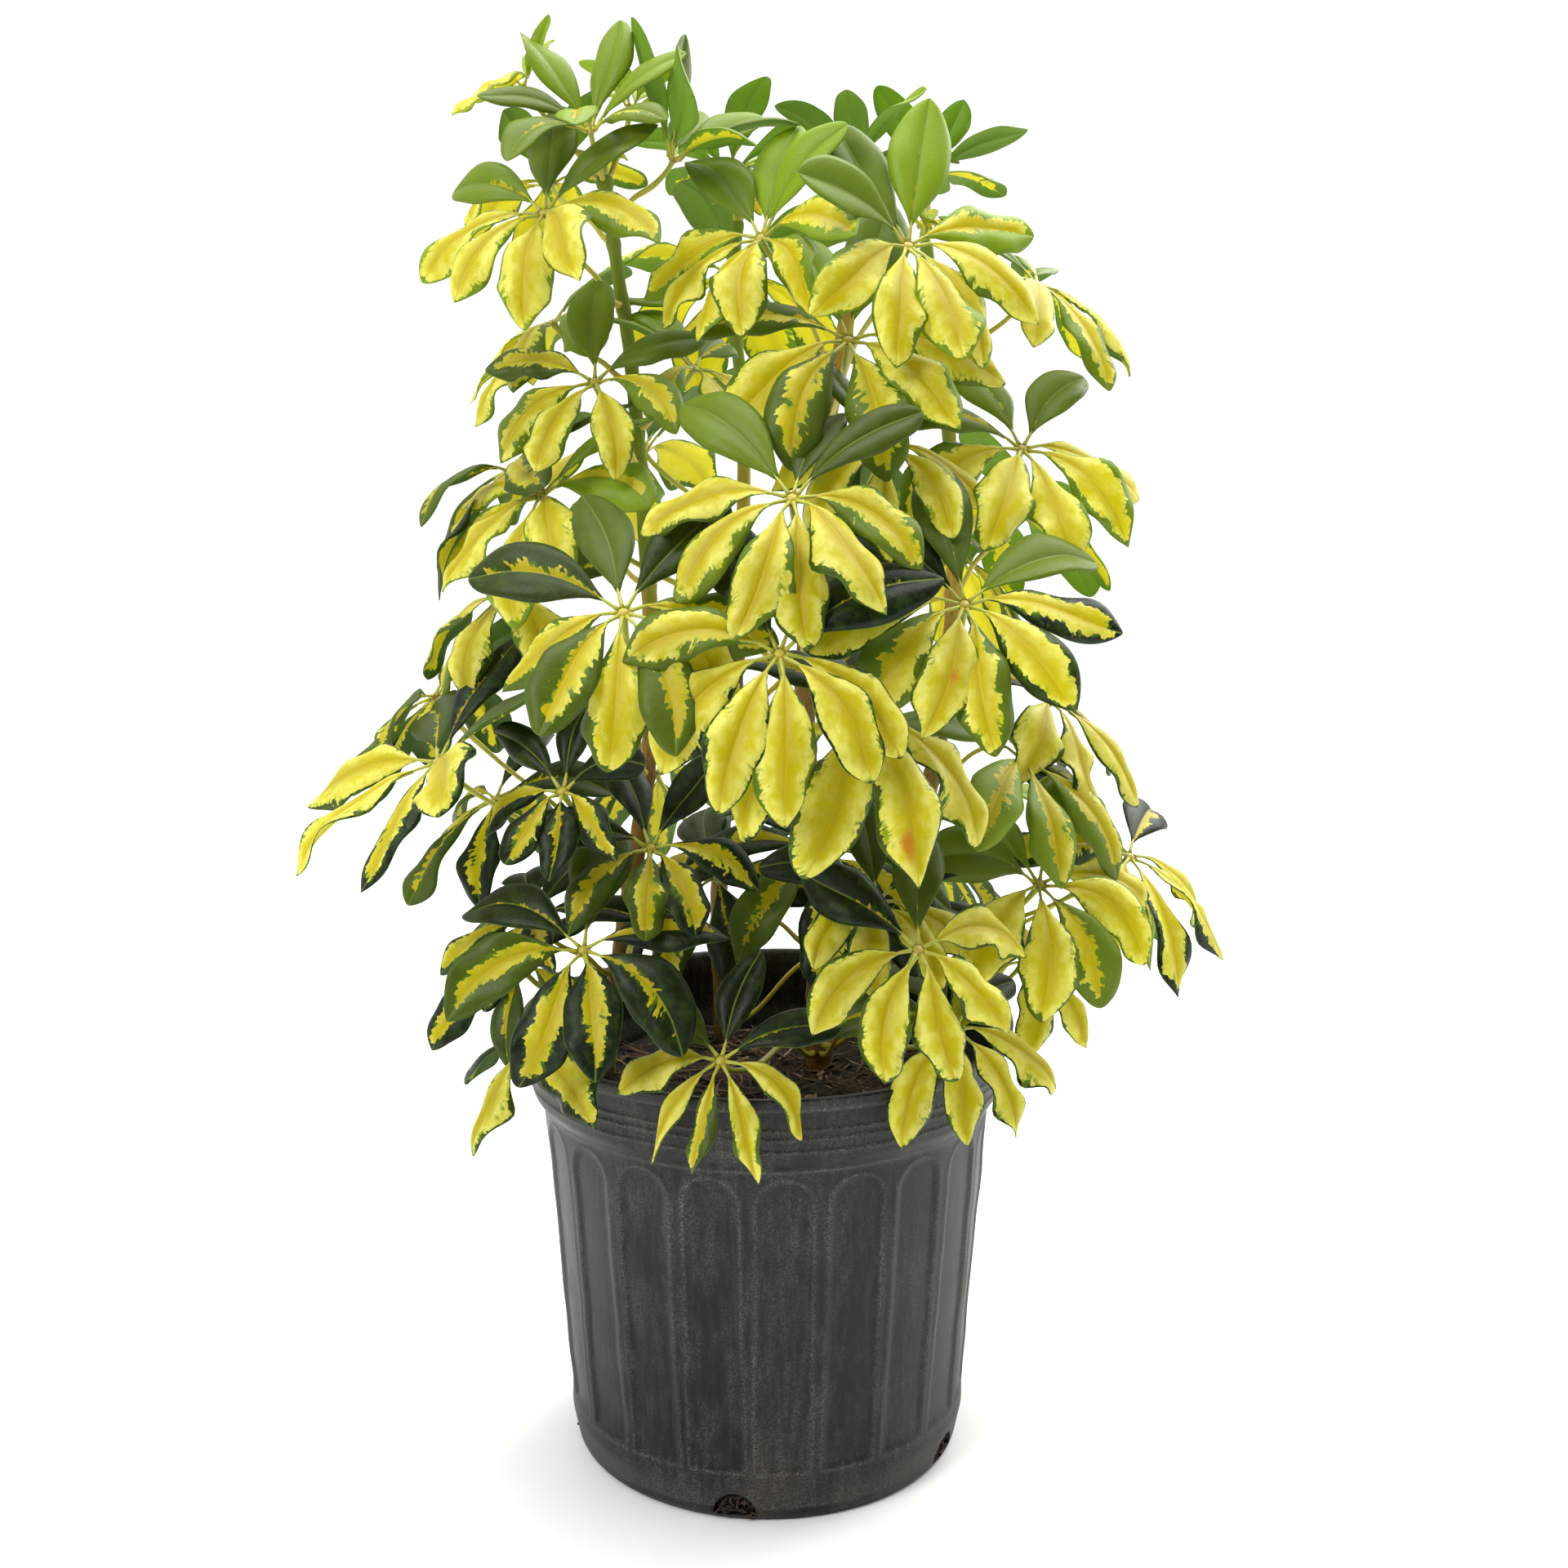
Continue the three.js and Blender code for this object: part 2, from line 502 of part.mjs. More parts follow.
class Leaf {
  constructor(row, index) {
    const { stem, hub, count, length, lean, lift, sag = USUAL_SAG, bearing } = row;
    Object.assign(this, { stem: stems[stem], count, length, lift, sag, index });
    this.hub = vector(hub);
    const nearest = this.stem.at(this.hub.z).middle;
    this.reach = this.hub.clone().sub(nearest).setZ(0);
    const out = bearing === undefined ? this.reach.clone().normalize() : towards(bearing);
    this.axis = UP.clone().multiplyScalar(Math.cos(radians(lean)))
      .addScaledVector(out, Math.sin(radians(lean)));
    this.east = square(out, this.axis);
    this.north = this.axis.clone().cross(this.east);
    this.firstTurn = index * GOLDEN_ANGLE;
    this.draw = seededDraws(index + 1);
    this.skin = new Skin();
  }

  // A point round the hub: out from its axis at a turn, and above or below its plane.
  roundHub(turn, radius, height) {
    return this.hub.clone().addScaledVector(this.outward(turn), radius).addScaledVector(this.axis, height);
  }

  outward(turn) {
    return this.east.clone().multiplyScalar(Math.cos(radians(turn)))
      .addScaledVector(this.north, Math.sin(radians(turn)));
  }

  // The hub and the petiole that carries it, from the stem's bark to the hub's underside.
  growStalk(space) {
    const highest = this.stem.samples.at(-1).z - PETIOLE_TIP_GAP;
    const usual = Math.min(this.hub.z - this.reach.length() * PETIOLE_RISE - HUB_DEPTH, highest);
    for (const { climb, bow } of STALK_TRIES) {
      const height = THREE.MathUtils.clamp(usual + climb, PETIOLE_LOWEST + Math.abs(climb) / 2, highest);
      const skin = this.stalkSkin(height, bow);
      if (space.crosses(skin.triangles(), this.index)) continue;
      space.add(skin.triangles(), this.index);
      this.skin = skin;
      return;
    }
    throw new Error(`no way clear for the petiole of leaf ${this.index + 1}`);
  }

  stalkSkin(height, bow) {
    const skin = new Skin();
    const step = 360 / this.count;
    const turns = Array.from({ length: this.count }, (_, k) => this.firstTurn + k * step);
    this.valleys = turns.map((turn) => skin.add(this.roundHub(turn + step / 2, HUB_VALLEY, 0)));
    this.ridges = turns.map((turn) => skin.add(this.roundHub(turn, HUB_RIDGE, HUB_HALF_HEIGHT)));
    this.keels = turns.map((turn) => skin.add(this.roundHub(turn, HUB_RIDGE, -HUB_HALF_HEIGHT)));
    const crown = skin.add(this.roundHub(0, 0, HUB_CROWN));
    skin.fan(crown, this.ridges.flatMap((ridge, k) => [ridge, this.valleys[k]]));
    const rings = this.petioleRings(skin, height, bow);
    skin.stitch(this.keels.flatMap((keel, k) => [keel, this.valleys[k]]), rings[0]);
    rings.slice(1).forEach((ring, k) => skin.band(rings[k], ring));
    const [a, b, c, d] = rings.at(-1);
    skin.faces.push([a, d, c], [a, c, b]);
    return skin;
  }

  // The petiole's rings from the hub down, on a curve that leaves the stem rising and ends under the hub.
  petioleRings(skin, height, bow) {
    const { middle, along: stemLine, corners } = this.stem.at(height);
    const level = square(this.hub.clone().sub(middle), stemLine);
    const bark = Math.max(...corners.map((corner) => corner.sub(middle).dot(level)));
    const foot = middle.clone().addScaledVector(level, bark + SEAT_GAP);
    const chord = this.hub.clone().sub(foot);
    const arrival = this.axis.clone().multiplyScalar(2).add(chord.clone().normalize()).normalize();
    const head = this.hub.clone().addScaledVector(arrival, -HUB_DEPTH);
    const leaving = level.clone().multiplyScalar(Math.cos(radians(PETIOLE_CLIMB)))
      .addScaledVector(UP, Math.sin(radians(PETIOLE_CLIMB)));
    const side = level.clone().cross(UP).multiplyScalar(bow);
    const third = chord.length() / 3;
    const curve = new THREE.CubicBezierCurve3(head, head.clone().addScaledVector(arrival, -third).add(side),
      foot.clone().addScaledVector(leaving, third).add(side), foot);
    let reference = this.outward(this.firstTurn);
    return curve.getSpacedPoints(PETIOLE_STEPS).map((point, k) => {
      const share = k / PETIOLE_STEPS;
      const along = k === PETIOLE_STEPS ? level : curve.getTangentAt(share).negate();
      reference = square(reference, along);
      const across = along.clone().cross(reference);
      const width = THREE.MathUtils.lerp(PETIOLE_RADIUS, PETIOLE_FOOT_RADIUS, share ** 4);
      return skin.ring([0, 1, 2, 3].map((corner) => point.clone()
        .addScaledVector(reference, width * Math.cos((corner * Math.PI) / 2))
        .addScaledVector(across, width * Math.sin((corner * Math.PI) / 2))));
    });
  }

  // One leaflet's sections from the end of its stalk to its tip, each a left, upper, right and lower corner.
  leafletRings(turn, lift, roll, length, shift) {
    const outward = this.outward(turn);
    const heading = outward.clone().multiplyScalar(Math.cos(radians(lift)))
      .addScaledVector(this.axis, Math.sin(radians(lift)));
    const place = this.hub.clone().addScaledVector(outward, HUB_VALLEY);
    const sag = this.sag * (1 - STANDING * Math.max(0, outward.z));
    let upper = square(this.axis, heading);
    if (Math.abs(this.axis.dot(heading)) > NEARLY_ALONG) upper = square(outward.clone().negate(), heading);
    upper.applyAxisAngle(heading, radians(roll));
    let reached = 0;
    const advance = (along) => {
      heading.addScaledVector(UP, -sag * (along - reached)).normalize();
      place.addScaledVector(heading, (along - reached) * length);
      upper = square(upper, heading);
      reached = along;
    };
    const rings = [STALK_END, ...BLADE_SECTIONS].map(({ along, halfWidth, thickness, fold }) => {
      advance(along);
      const side = upper.clone().cross(heading).multiplyScalar(halfWidth * length);
      const edge = place.clone().addScaledVector(upper, fold * halfWidth * length + shift);
      return [edge.clone().sub(side), place.clone().addScaledVector(upper, thickness / 2 + shift),
        edge.clone().add(side), place.clone().addScaledVector(upper, shift - thickness / 2)];
    });
    advance(1);
    return { rings, tip: place.clone().addScaledVector(upper, shift) };
  }

  // The leaflet as a skin on its hub's corners, with its stalk and blade apart to test what they cross.
  leafletSkin(k, pose, shift = 0) {
    const { rings, tip } = this.leafletRings(pose.turn, pose.lift, pose.roll, pose.length, shift);
    const skin = new Skin();
    const left = this.valleys[(k + this.count - 1) % this.count];
    const base = [left, this.ridges[k], this.valleys[k], this.keels[k]].map((corner) =>
      skin.add(this.skin.points[corner]));
    const sections = rings.map((ring) => skin.ring(ring));
    skin.band(base, sections[0]);
    const split = skin.faces.length;
    sections.slice(1).forEach((section, j) => skin.band(sections[j], section));
    skin.fan(skin.add(tip), [...sections.at(-1)].reverse());
    const [stalk, blade] = [skin.faces.slice(0, split), skin.faces.slice(split)];
    return { skin, stalk: skin.triangles(stalk), blade: skin.triangles(blade) };
  }

  isClear(space, k, pose) {
    return [-CLEARANCE, 0, CLEARANCE].every((shift) => {
      const { stalk, blade } = this.leafletSkin(k, pose, shift);
      return !space.crosses(blade) && !space.crosses(stalk, this.index);
    });
  }

  // Grows each leaflet where it is clear of what is placed. One that finds no clear way is left out.
  growLeaflets(space) {
    for (let k = 0; k < this.count; k += 1) {
      const usual = {
        turn: this.firstTurn + (360 * k) / this.count + VARIETY.turn * this.draw(),
        lift: this.lift + (k % 2 ? -1 : 1) * VARIETY.stagger + VARIETY.lift * this.draw(),
        roll: VARIETY.roll * this.draw(),
        length: this.length * (1 + VARIETY.length * this.draw()),
      };
      const poses = LEAFLET_TRIES.map(({ size, lift, turn }) => ({
        turn: usual.turn + turn,
        lift: usual.lift + lift,
        roll: usual.roll,
        length: usual.length * size,
      }));
      const pose = poses.find((candidate) => this.isClear(space, k, candidate));
      this.closeLeaflet(space, k, pose);
    }
  }

  closeLeaflet(space, k, pose) {
    const left = this.valleys[(k + this.count - 1) % this.count];
    const base = [left, this.ridges[k], this.valleys[k], this.keels[k]];
    if (pose === undefined) {
      this.skin.faces.push([base[0], base[3], base[1]], [base[1], base[3], base[2]]);
      console.error(`leaf ${this.index + 1}: leaflet ${k + 1} left out`);
      return;
    }
    const { skin, stalk, blade } = this.leafletSkin(k, pose);
    const own = skin.points.map((point, corner) => (corner < 4 ? base[corner] : this.skin.add(point)));
    this.skin.faces.push(...skin.faces.map((face) => face.map((corner) => own[corner])));
    space.add([...stalk, ...blade], this.index);
  }
}

// ---------------------------------------------------------------- the whole plant
function trianglesOf(geometry) {
  const position = geometry.getAttribute("position");
  const corner = (k) => new THREE.Vector3().fromBufferAttribute(position, geometry.index.getX(k));
  const count = geometry.index.count / 3;
  return Array.from({ length: count }, (_, k) => [0, 1, 2].map((side) => corner(3 * k + side)));
}

function named(name, geometry, material) {
  geometry.computeVertexNormals();
  const mesh = new THREE.Mesh(geometry, material);
  mesh.name = name;
  return mesh;
}

const stems = Object.fromEntries(Object.entries(STEMS).map(([name, row]) => [name, new Stem(row)]));
const plant = new THREE.Group();
plant.add(named("nursery_pot", nurseryPot(), MATERIALS.pot));
plant.add(named("potting_mix", pottingMix(Object.values(stems)), MATERIALS.mix));
for (const [name, stem] of Object.entries(stems)) {
  plant.add(named(`stem_${name}`, stem.skin.geometry(), MATERIALS.stem));
}

const space = new TakenSpace();
plant.children.forEach((mesh) => space.add(trianglesOf(mesh.geometry), mesh.name));
const leaves = LEAVES.map((row, index) => new Leaf(row, index));
leaves.forEach((leaf) => leaf.growStalk(space));
leaves.forEach((leaf) => leaf.growLeaflets(space));
leaves.forEach((leaf, index) => {
  const material = leaf.length < YOUNG_LENGTH ? MATERIALS.youngLeaf : MATERIALS.leaf;
  plant.add(named(`leaf_${String(index + 1).padStart(2, "0")}`, leaf.skin.geometry(), material));
});

export default plant;
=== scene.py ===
"""A potted umbrella plant: woody stems of variegated compound leaves in a moulded nursery pot.

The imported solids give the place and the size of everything. Each is replaced by a finer piece of its own
form. Blender's lengths are metres. Sizes given in millimetres say so, and MM turns them. The front faces -Y.
"""
import logging
import math
from dataclasses import dataclass, field
from enum import Enum, IntEnum
from typing import Iterable, Sequence

import bmesh
import bpy
import numpy as np
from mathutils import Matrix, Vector


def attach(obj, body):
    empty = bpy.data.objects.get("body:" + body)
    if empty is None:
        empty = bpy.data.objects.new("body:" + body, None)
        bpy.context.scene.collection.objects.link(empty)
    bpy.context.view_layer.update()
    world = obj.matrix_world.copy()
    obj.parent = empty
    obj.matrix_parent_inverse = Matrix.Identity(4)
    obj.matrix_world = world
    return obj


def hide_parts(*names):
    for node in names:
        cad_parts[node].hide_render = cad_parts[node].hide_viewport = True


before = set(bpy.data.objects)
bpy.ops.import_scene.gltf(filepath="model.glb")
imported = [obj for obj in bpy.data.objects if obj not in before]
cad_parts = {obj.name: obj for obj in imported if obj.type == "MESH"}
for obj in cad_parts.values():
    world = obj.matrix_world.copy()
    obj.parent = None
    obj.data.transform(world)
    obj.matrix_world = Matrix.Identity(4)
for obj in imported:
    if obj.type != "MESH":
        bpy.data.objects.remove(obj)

log = logging.getLogger("umbrella_plant")

MM = 0.001
BODY = "root"


# ---------------------------------------------------------------- colours and materials
SMOOTH = {"interpolation_type": "SMOOTHSTEP"}  # settings of a Map Range node that rises softly
COLOURS = {"data_type": "RGBA"}  # and of a Mix node that mixes two colours


def linear(code: str) -> tuple[float, float, float, float]:
    """Turns an sRGB colour to the linear one that Blender's sockets take.

    Args:
        code: the colour as "#rrggbb".

    Returns:
        Red, green, blue and full alpha.
    """
    channels = [int(code[k:k + 2], 16) / 255 for k in (1, 3, 5)]
    red, green, blue = [c / 12.92 if c <= 0.04045 else ((c + 0.055) / 1.055) ** 2.4 for c in channels]
    return red, green, blue, 1.0


def per_length(size: tuple[float, float]) -> tuple[float, float, float]:
    """The scale that gives a pattern in space its size, in millimetres across (X and Y) and up (Z)."""
    across, up = size
    return 1 / MM / across, 1 / MM / across, 1 / MM / up


@dataclass
class Recipe:
    """A material that is being wired, node by node.

    Args:
        name: the material's name.
    """

    name: str
    material: bpy.types.Material = field(init=False)

    def __post_init__(self) -> None:
        """Makes an empty material."""
        self.material = bpy.data.materials.new(self.name)
        self.material.use_nodes = True
        self.material.node_tree.nodes.clear()

    def add(self, kind: str, *ordered: object, named: dict[str, object] | None = None,
            **settings: object) -> bpy.types.NodeSocket:
        """Adds a node with its settings and links.

        Args:
            kind: the node's type without its ShaderNode prefix.
            ordered: for its inputs in use, in their order, a value, an sRGB code or the socket that feeds it.
            named: the same for inputs that are given by name.
            settings: the node's own properties.

        Returns:
            The node's first output in use, or its first input if it has no output.
        """
        node = self.material.node_tree.nodes.new("ShaderNode" + kind)
        for key, value in settings.items():
            setattr(node, key, value)
        inputs = [socket for socket in node.inputs if socket.enabled]
        fed = list(zip(inputs, ordered))
        for key, value in (named or {}).items():
            fed.append((next(socket for socket in inputs if socket.name == key), value))
        for socket, value in fed:
            if isinstance(value, bpy.types.NodeSocket):
                self.material.node_tree.links.new(value, socket)
            else:
                socket.default_value = linear(value) if isinstance(value, str) else value
        return next((s for s in node.outputs if s.enabled), None) or node.inputs[0]

    def done(self, surface: bpy.types.NodeSocket) -> bpy.types.Material:
        """Links the surface to the output and returns the material."""
        self.add("OutputMaterial", surface)
        return self.material


@dataclass(frozen=True)
class VariegatedLeaf:
    """The living leaf of a gold-variegated umbrella plant, with its smooth waxy cuticle.

    The eye reads a satin blade whose yellow heart breaks into a green margin in jagged steps along the side
    veins, with splashes of a lighter green between the two, and light that glows through from behind.
    Sizes are millimetres.
    """

    name: str = "waxy_variegated_leaf"
    deep_green: str = "#0f1c05"
    green: str = "#364e10"
    # the lighter green, partly the young leaves' real tone and partly painted backlight near the top and
    # behind
    fresh_green: str = "#92aa22"
    splash_green: str = "#688c18"
    yellow: str = "#cac012"
    # painted shade along the fold of the midrib
    deep_yellow: str = "#a89204"
    # paler towards the margins as a painted highlight, and in the skin's own paler clouds
    pale_yellow: str = "#eae674"
    rib_green: str = "#84983a"
    rib_yellow: str = "#c9b21e"
    under_green: str = "#6c8c42"
    under_yellow: str = "#cfc840"
    glow_dark: str = "#426006"  # through a dark green leaf
    glow_green: str = "#98b80e"  # through a light green one
    glow_yellow: str = "#f4f01e"
    # a painted highlight along the very margin
    rim: str = "#6d9540"
    scorch: str = "#d08c1e"
    roughness: float = 0.4
    gloss: float = 0.34  # the specular level
    finger: float = 3.4  # between the jagged steps of the green margin
    block: float = 1.9  # the size of the flecks along that edge
    sweep: tuple[float, float] = (15.0, 9.0)  # the broad waves of that edge, along and across
    mottle: tuple[float, float] = (6.0, 5.0)  # the clouds of paler and darker skin, along and across
    vein: float = 4.6  # between two side veins
    net: float = 0.8  # the mesh of the finest veins
    slant: float = 0.55  # how far a side vein runs forward for each millimetre outward
    through: float = 0.42  # the share of light that passes the blade

    def make(self) -> bpy.types.Material:
        """Wires the material from the values that each blade carries on its points.

        Returns:
            the finished material.
        """
        r = Recipe(self.name)
        carried = ("along", "across", "margin", "reach", "seed", "gold", "fresh", "under", "scorch")
        along, across, margin, reach, seed, gold, fresh, under, scorch = [
            r.add("Attribute", attribute_name=name).node.outputs["Fac"] for name in carried]
        side = r.add("Math", across, operation="SIGN")
        aside = r.add("Math", across, operation="ABSOLUTE")
        lateral = r.add("Math", aside, -self.slant, along, operation="MULTIPLY_ADD")
        own = r.add("Math", seed, 91.0, operation="MULTIPLY")
        draw = r.add("Math", side, 7.0, own, operation="MULTIPLY_ADD")

        def noise(first: bpy.types.NodeSocket, second: bpy.types.NodeSocket, sizes: tuple[float, float],
                  detail: float) -> bpy.types.NodeSocket:
            """A noise over two of the blade's lengths, as coarse as the sizes, that differs on each half.

            Args:
                first: the length that the noise runs along.
                second: the one that it runs across.
                sizes: how coarse it is over each, in millimetres.
                detail: how many finer layers it has.

            Returns:
                a value from 0 to 1.
            """
            scaled = [r.add("Math", length, 1 / size, operation="MULTIPLY")
                      for length, size in zip((first, second), sizes)]
            place = r.add("CombineXYZ", *scaled, draw)
            return r.add("TexNoise", place, named={"Scale": 1.0, "Detail": detail, "Roughness": 0.55})

        broad = noise(along, across, self.sweep, 1.0)
        fingers = noise(lateral, aside, (self.finger, 3 * self.finger), 1.0)
        blocks = noise(lateral, aside, (self.block, 1.5 * self.block), 1.0)
        cloud = noise(along, across, self.mottle, 2.0)

        def blend(one: bpy.types.NodeSocket, other: bpy.types.NodeSocket, sizes: tuple[float, float],
                  start: bpy.types.NodeSocket | float) -> bpy.types.NodeSocket:
            """Adds two noises, each by its own size, to a start.

            Args:
                one: the first noise.
                other: the second.
                sizes: how much each counts.
                start: what they are added to.

            Returns:
                the sum.
            """
            for value, size in zip((one, other), sizes):
                shifted = r.add("Math", value, -0.5, operation="ADD")
                start = r.add("Math", shifted, size, start, operation="MULTIPLY_ADD")
            return start

        # How far a point lies on the green side of the jagged line between the margin and the heart. The
        # line moves out as the blade is yellower, and further on one half than on the other.
        raggedness = r.add("MapRange", gold, 0.6, 1.0, 1.0, 0.3)
        jag = blend(fingers, blocks, (0.8, 0.36), 0.0)
        waved = blend(broad, cloud, (0.8, 0.3), margin)
        ragged = r.add("Math", jag, raggedness, waved, operation="MULTIPLY_ADD")
        line = r.add("MapRange", gold, 0.0, 1.0, -0.85, 0.98)
        toward_foot = r.add("MapRange", reach, 0.0, 1.0, 0.24, -0.16)
        half_draw = r.add("Math", r.add("Math", seed, 7.3, operation="MULTIPLY"), operation="FRACT")
        uneven = r.add("Math", r.add("Math", half_draw, -0.5, operation="ADD"), side, operation="MULTIPLY")
        shift = r.add("Math", uneven, 0.75, toward_foot, operation="MULTIPLY_ADD")
        spare = r.add("MapRange", gold, 0.45, 1.0, 1.0, 0.12)
        line = r.add("Math", shift, spare, line, operation="MULTIPLY_ADD")
        beyond = r.add("Math", ragged, line, operation="SUBTRACT")
        # Where the blade is green: past that line, and in a thin band along the margin.
        past_line = r.add("MapRange", beyond, -0.012, 0.012, **SMOOTH)
        edge = r.add("Math", blocks, 0.06, margin, operation="MULTIPLY_ADD")
        rim_band = r.add("MapRange", edge, 0.945, 0.965, **SMOOTH)
        greens = r.add("Math", past_line, rim_band, operation="MAXIMUM")

        near_line = r.add("MapRange", beyond, -0.26, -0.02, **SMOOTH)
        patch = r.add("MapRange", broad, 0.42, 0.56, **SMOOTH)
        near = r.add("Math", near_line, patch, operation="MULTIPLY")
        splashes = r.add("Math", near, r.add("MapRange", blocks, 0.5, 0.56, **SMOOTH), operation="MULTIPLY")
        # The yellow pales towards the margin as a painted highlight, and in clouds of the skin's own paler
        # tone.
        paler = r.add("Math", margin, 0.45, cloud, operation="MULTIPLY_ADD")
        pale = r.add("MapRange", paler, 0.5, 0.95, **SMOOTH)
        heart = r.add("Mix", pale, self.yellow, self.pale_yellow, **COLOURS)
        # Painted shade: the yellow deepens towards the midrib, where the blade folds into a valley.
        middle = r.add("MapRange", margin, 0.0, 0.6, 0.9, 0.0)
        heart = r.add("Mix", middle, heart, self.deep_yellow, **COLOURS)
        heart = r.add("Mix", splashes, heart, self.splash_green, **COLOURS)

        lighter = r.add("MapRange", cloud, 0.46, 0.66, **SMOOTH)
        patches = r.add("Math", lighter, 0.6, operation="MULTIPLY")
        green = r.add("Mix", patches, self.deep_green, self.green, **COLOURS)
        # Lighter by the carried share: partly the young leaves' real tone, partly painted backlight near the
        # top and behind.
        green = r.add("Mix", fresh, green, self.fresh_green, **COLOURS)
        flecks = r.add("MapRange", fingers, 0.55, 0.6, **SMOOTH)
        by_line = r.add("MapRange", beyond, 0.26, 0.02, **SMOOTH)
        light_patches = r.add("Math", flecks, by_line, operation="MULTIPLY")
        green = r.add("Mix", light_patches, green, self.splash_green, **COLOURS)
        wandering = r.add("Math", cloud, 1.6, lateral, operation="MULTIPLY_ADD")
        pulse = r.add("Math", wandering, self.vein / 2, operation="PINGPONG")
        vein = r.add("MapRange", pulse, 0.35, 0.05, **SMOOTH)
        faint = r.add("Math", vein, 0.07, operation="MULTIPLY")
        green = r.add("Mix", faint, green, self.rib_green, **COLOURS)

        colour = r.add("Mix", greens, heart, green, **COLOURS)
        on_rib = r.add("Math", r.add("MapRange", aside, 0.8, 0.25, **SMOOTH), 0.7, operation="MULTIPLY")
        rib = r.add("Mix", greens, self.rib_yellow, self.rib_green, **COLOURS)
        colour = r.add("Mix", on_rib, colour, rib, **COLOURS)
        # A pale painted highlight along the very edge of every blade.
        colour = r.add("Mix", r.add("MapRange", margin, 0.975, 0.995, **SMOOTH), colour, self.rim, **COLOURS)
        behind = r.add("Math", under, 0.62, operation="MULTIPLY")
        underside = r.add("Mix", greens, self.under_yellow, self.under_green, **COLOURS)
        colour = r.add("Mix", behind, colour, underside, **COLOURS)
        dried = r.add("Math", cloud, 0.7, scorch, operation="MULTIPLY_ADD")
        scorched = r.add("MapRange", dried, 0.55, 1.25, **SMOOTH)
        colour = r.add("Mix", scorched, colour, self.scorch, **COLOURS)

        grain = noise(along, across, (self.net, self.net), 1.0)
        relief = r.add("Math", vein, -0.22, grain, operation="MULTIPLY_ADD")
        relief = r.add("Math", cloud, 1.2, relief, operation="MULTIPLY_ADD")
        bump = r.add("Bump", named={"Strength": 0.4, "Distance": 0.4 * MM, "Height": relief})
        matt = r.add("Math", cloud, 0.16, self.roughness - 0.08, operation="MULTIPLY_ADD")
        matt = r.add("Math", under, 0.22, matt, operation="MULTIPLY_ADD")
        skin = r.add("BsdfPrincipled", named={"Base Color": colour, "Roughness": matt, "Normal": bump,
                                              "Specular IOR Level": self.gloss})
        glow = r.add("Mix", fresh, self.glow_dark, self.glow_green, **COLOURS)
        glow = r.add("Mix", greens, self.glow_yellow, glow, **COLOURS)
        glow = r.add("Mix", scorched, glow, self.scorch, **COLOURS)
        light = r.add("BsdfTranslucent", glow, bump)
        return r.done(r.add("MixShader", self.through, skin, light))


YOUNG_LEAF = VariegatedLeaf(
    name="soft_young_leaf", deep_green="#7b8f20", green="#98a628", fresh_green="#adb834",
    # deep_yellow: the painted shade along the midrib's fold.
    # pale_yellow: partly a painted highlight towards the margins.
    splash_green="#b1bd40", yellow="#dccb40", deep_yellow="#c8ae30", pale_yellow="#e9df70",
    # rim: the painted highlight along the margins.
    rib_green="#bcc05c", rim="#a3b04a", glow_dark="#a8c01e", glow_green="#b4cc22",
    under_green="#a4b45a", scorch="#8f6c22", through=0.46,
)


@dataclass(frozen=True)
class GreenStalk:
    """The fleshy green bark of leaf stalks: smooth, faintly ribbed along, tan where it ages and swells."""

    name: str = "fleshy_green_stalk"
    fresh: str = "#94a52e"
    ripe: str = "#bfae3c"
    swollen: str = "#8d6a30"
    rib: tuple[float, float] = (0.7, 6.0)  # millimetres across a fine rib and along it
    blotch: tuple[float, float] = (3.0, 9.0)  # and of the riper blotches

    def make(self) -> bpy.types.Material:
        """Wires the material from the values that each stalk carries on its points.

        Returns:
            the finished material.
        """
        r = Recipe(self.name)
        warm, knob = [r.add("Attribute", attribute_name=name).node.outputs["Fac"]
                      for name in ("warm", "knob")]
        place = r.add("TexCoord").node.outputs["Object"]
        wide = r.add("VectorMath", place, per_length(self.blotch), operation="MULTIPLY")
        fine = r.add("VectorMath", place, per_length(self.rib), operation="MULTIPLY")
        blotch = r.add("TexNoise", wide, named={"Scale": 1.0, "Detail": 2.0})
        ribs = r.add("TexNoise", fine, named={"Scale": 1.0, "Detail": 1.0})
        ripeness = r.add("MapRange", r.add("Math", blotch, 0.7, warm, operation="MULTIPLY_ADD"), 0.3, 1.1)
        colour = r.add("Mix", ripeness, self.fresh, self.ripe, **COLOURS)
        corky = r.add("MapRange", r.add("Math", knob, blotch, knob, operation="MULTIPLY_ADD"), 0.35, 1.2)
        colour = r.add("Mix", corky, colour, self.swollen, **COLOURS)
        bump = r.add("Bump", named={"Strength": 0.4, "Distance": 0.3 * MM, "Height": ribs})
        return r.done(r.add("BsdfPrincipled", colour, named={"Roughness": 0.42, "Normal": bump}))


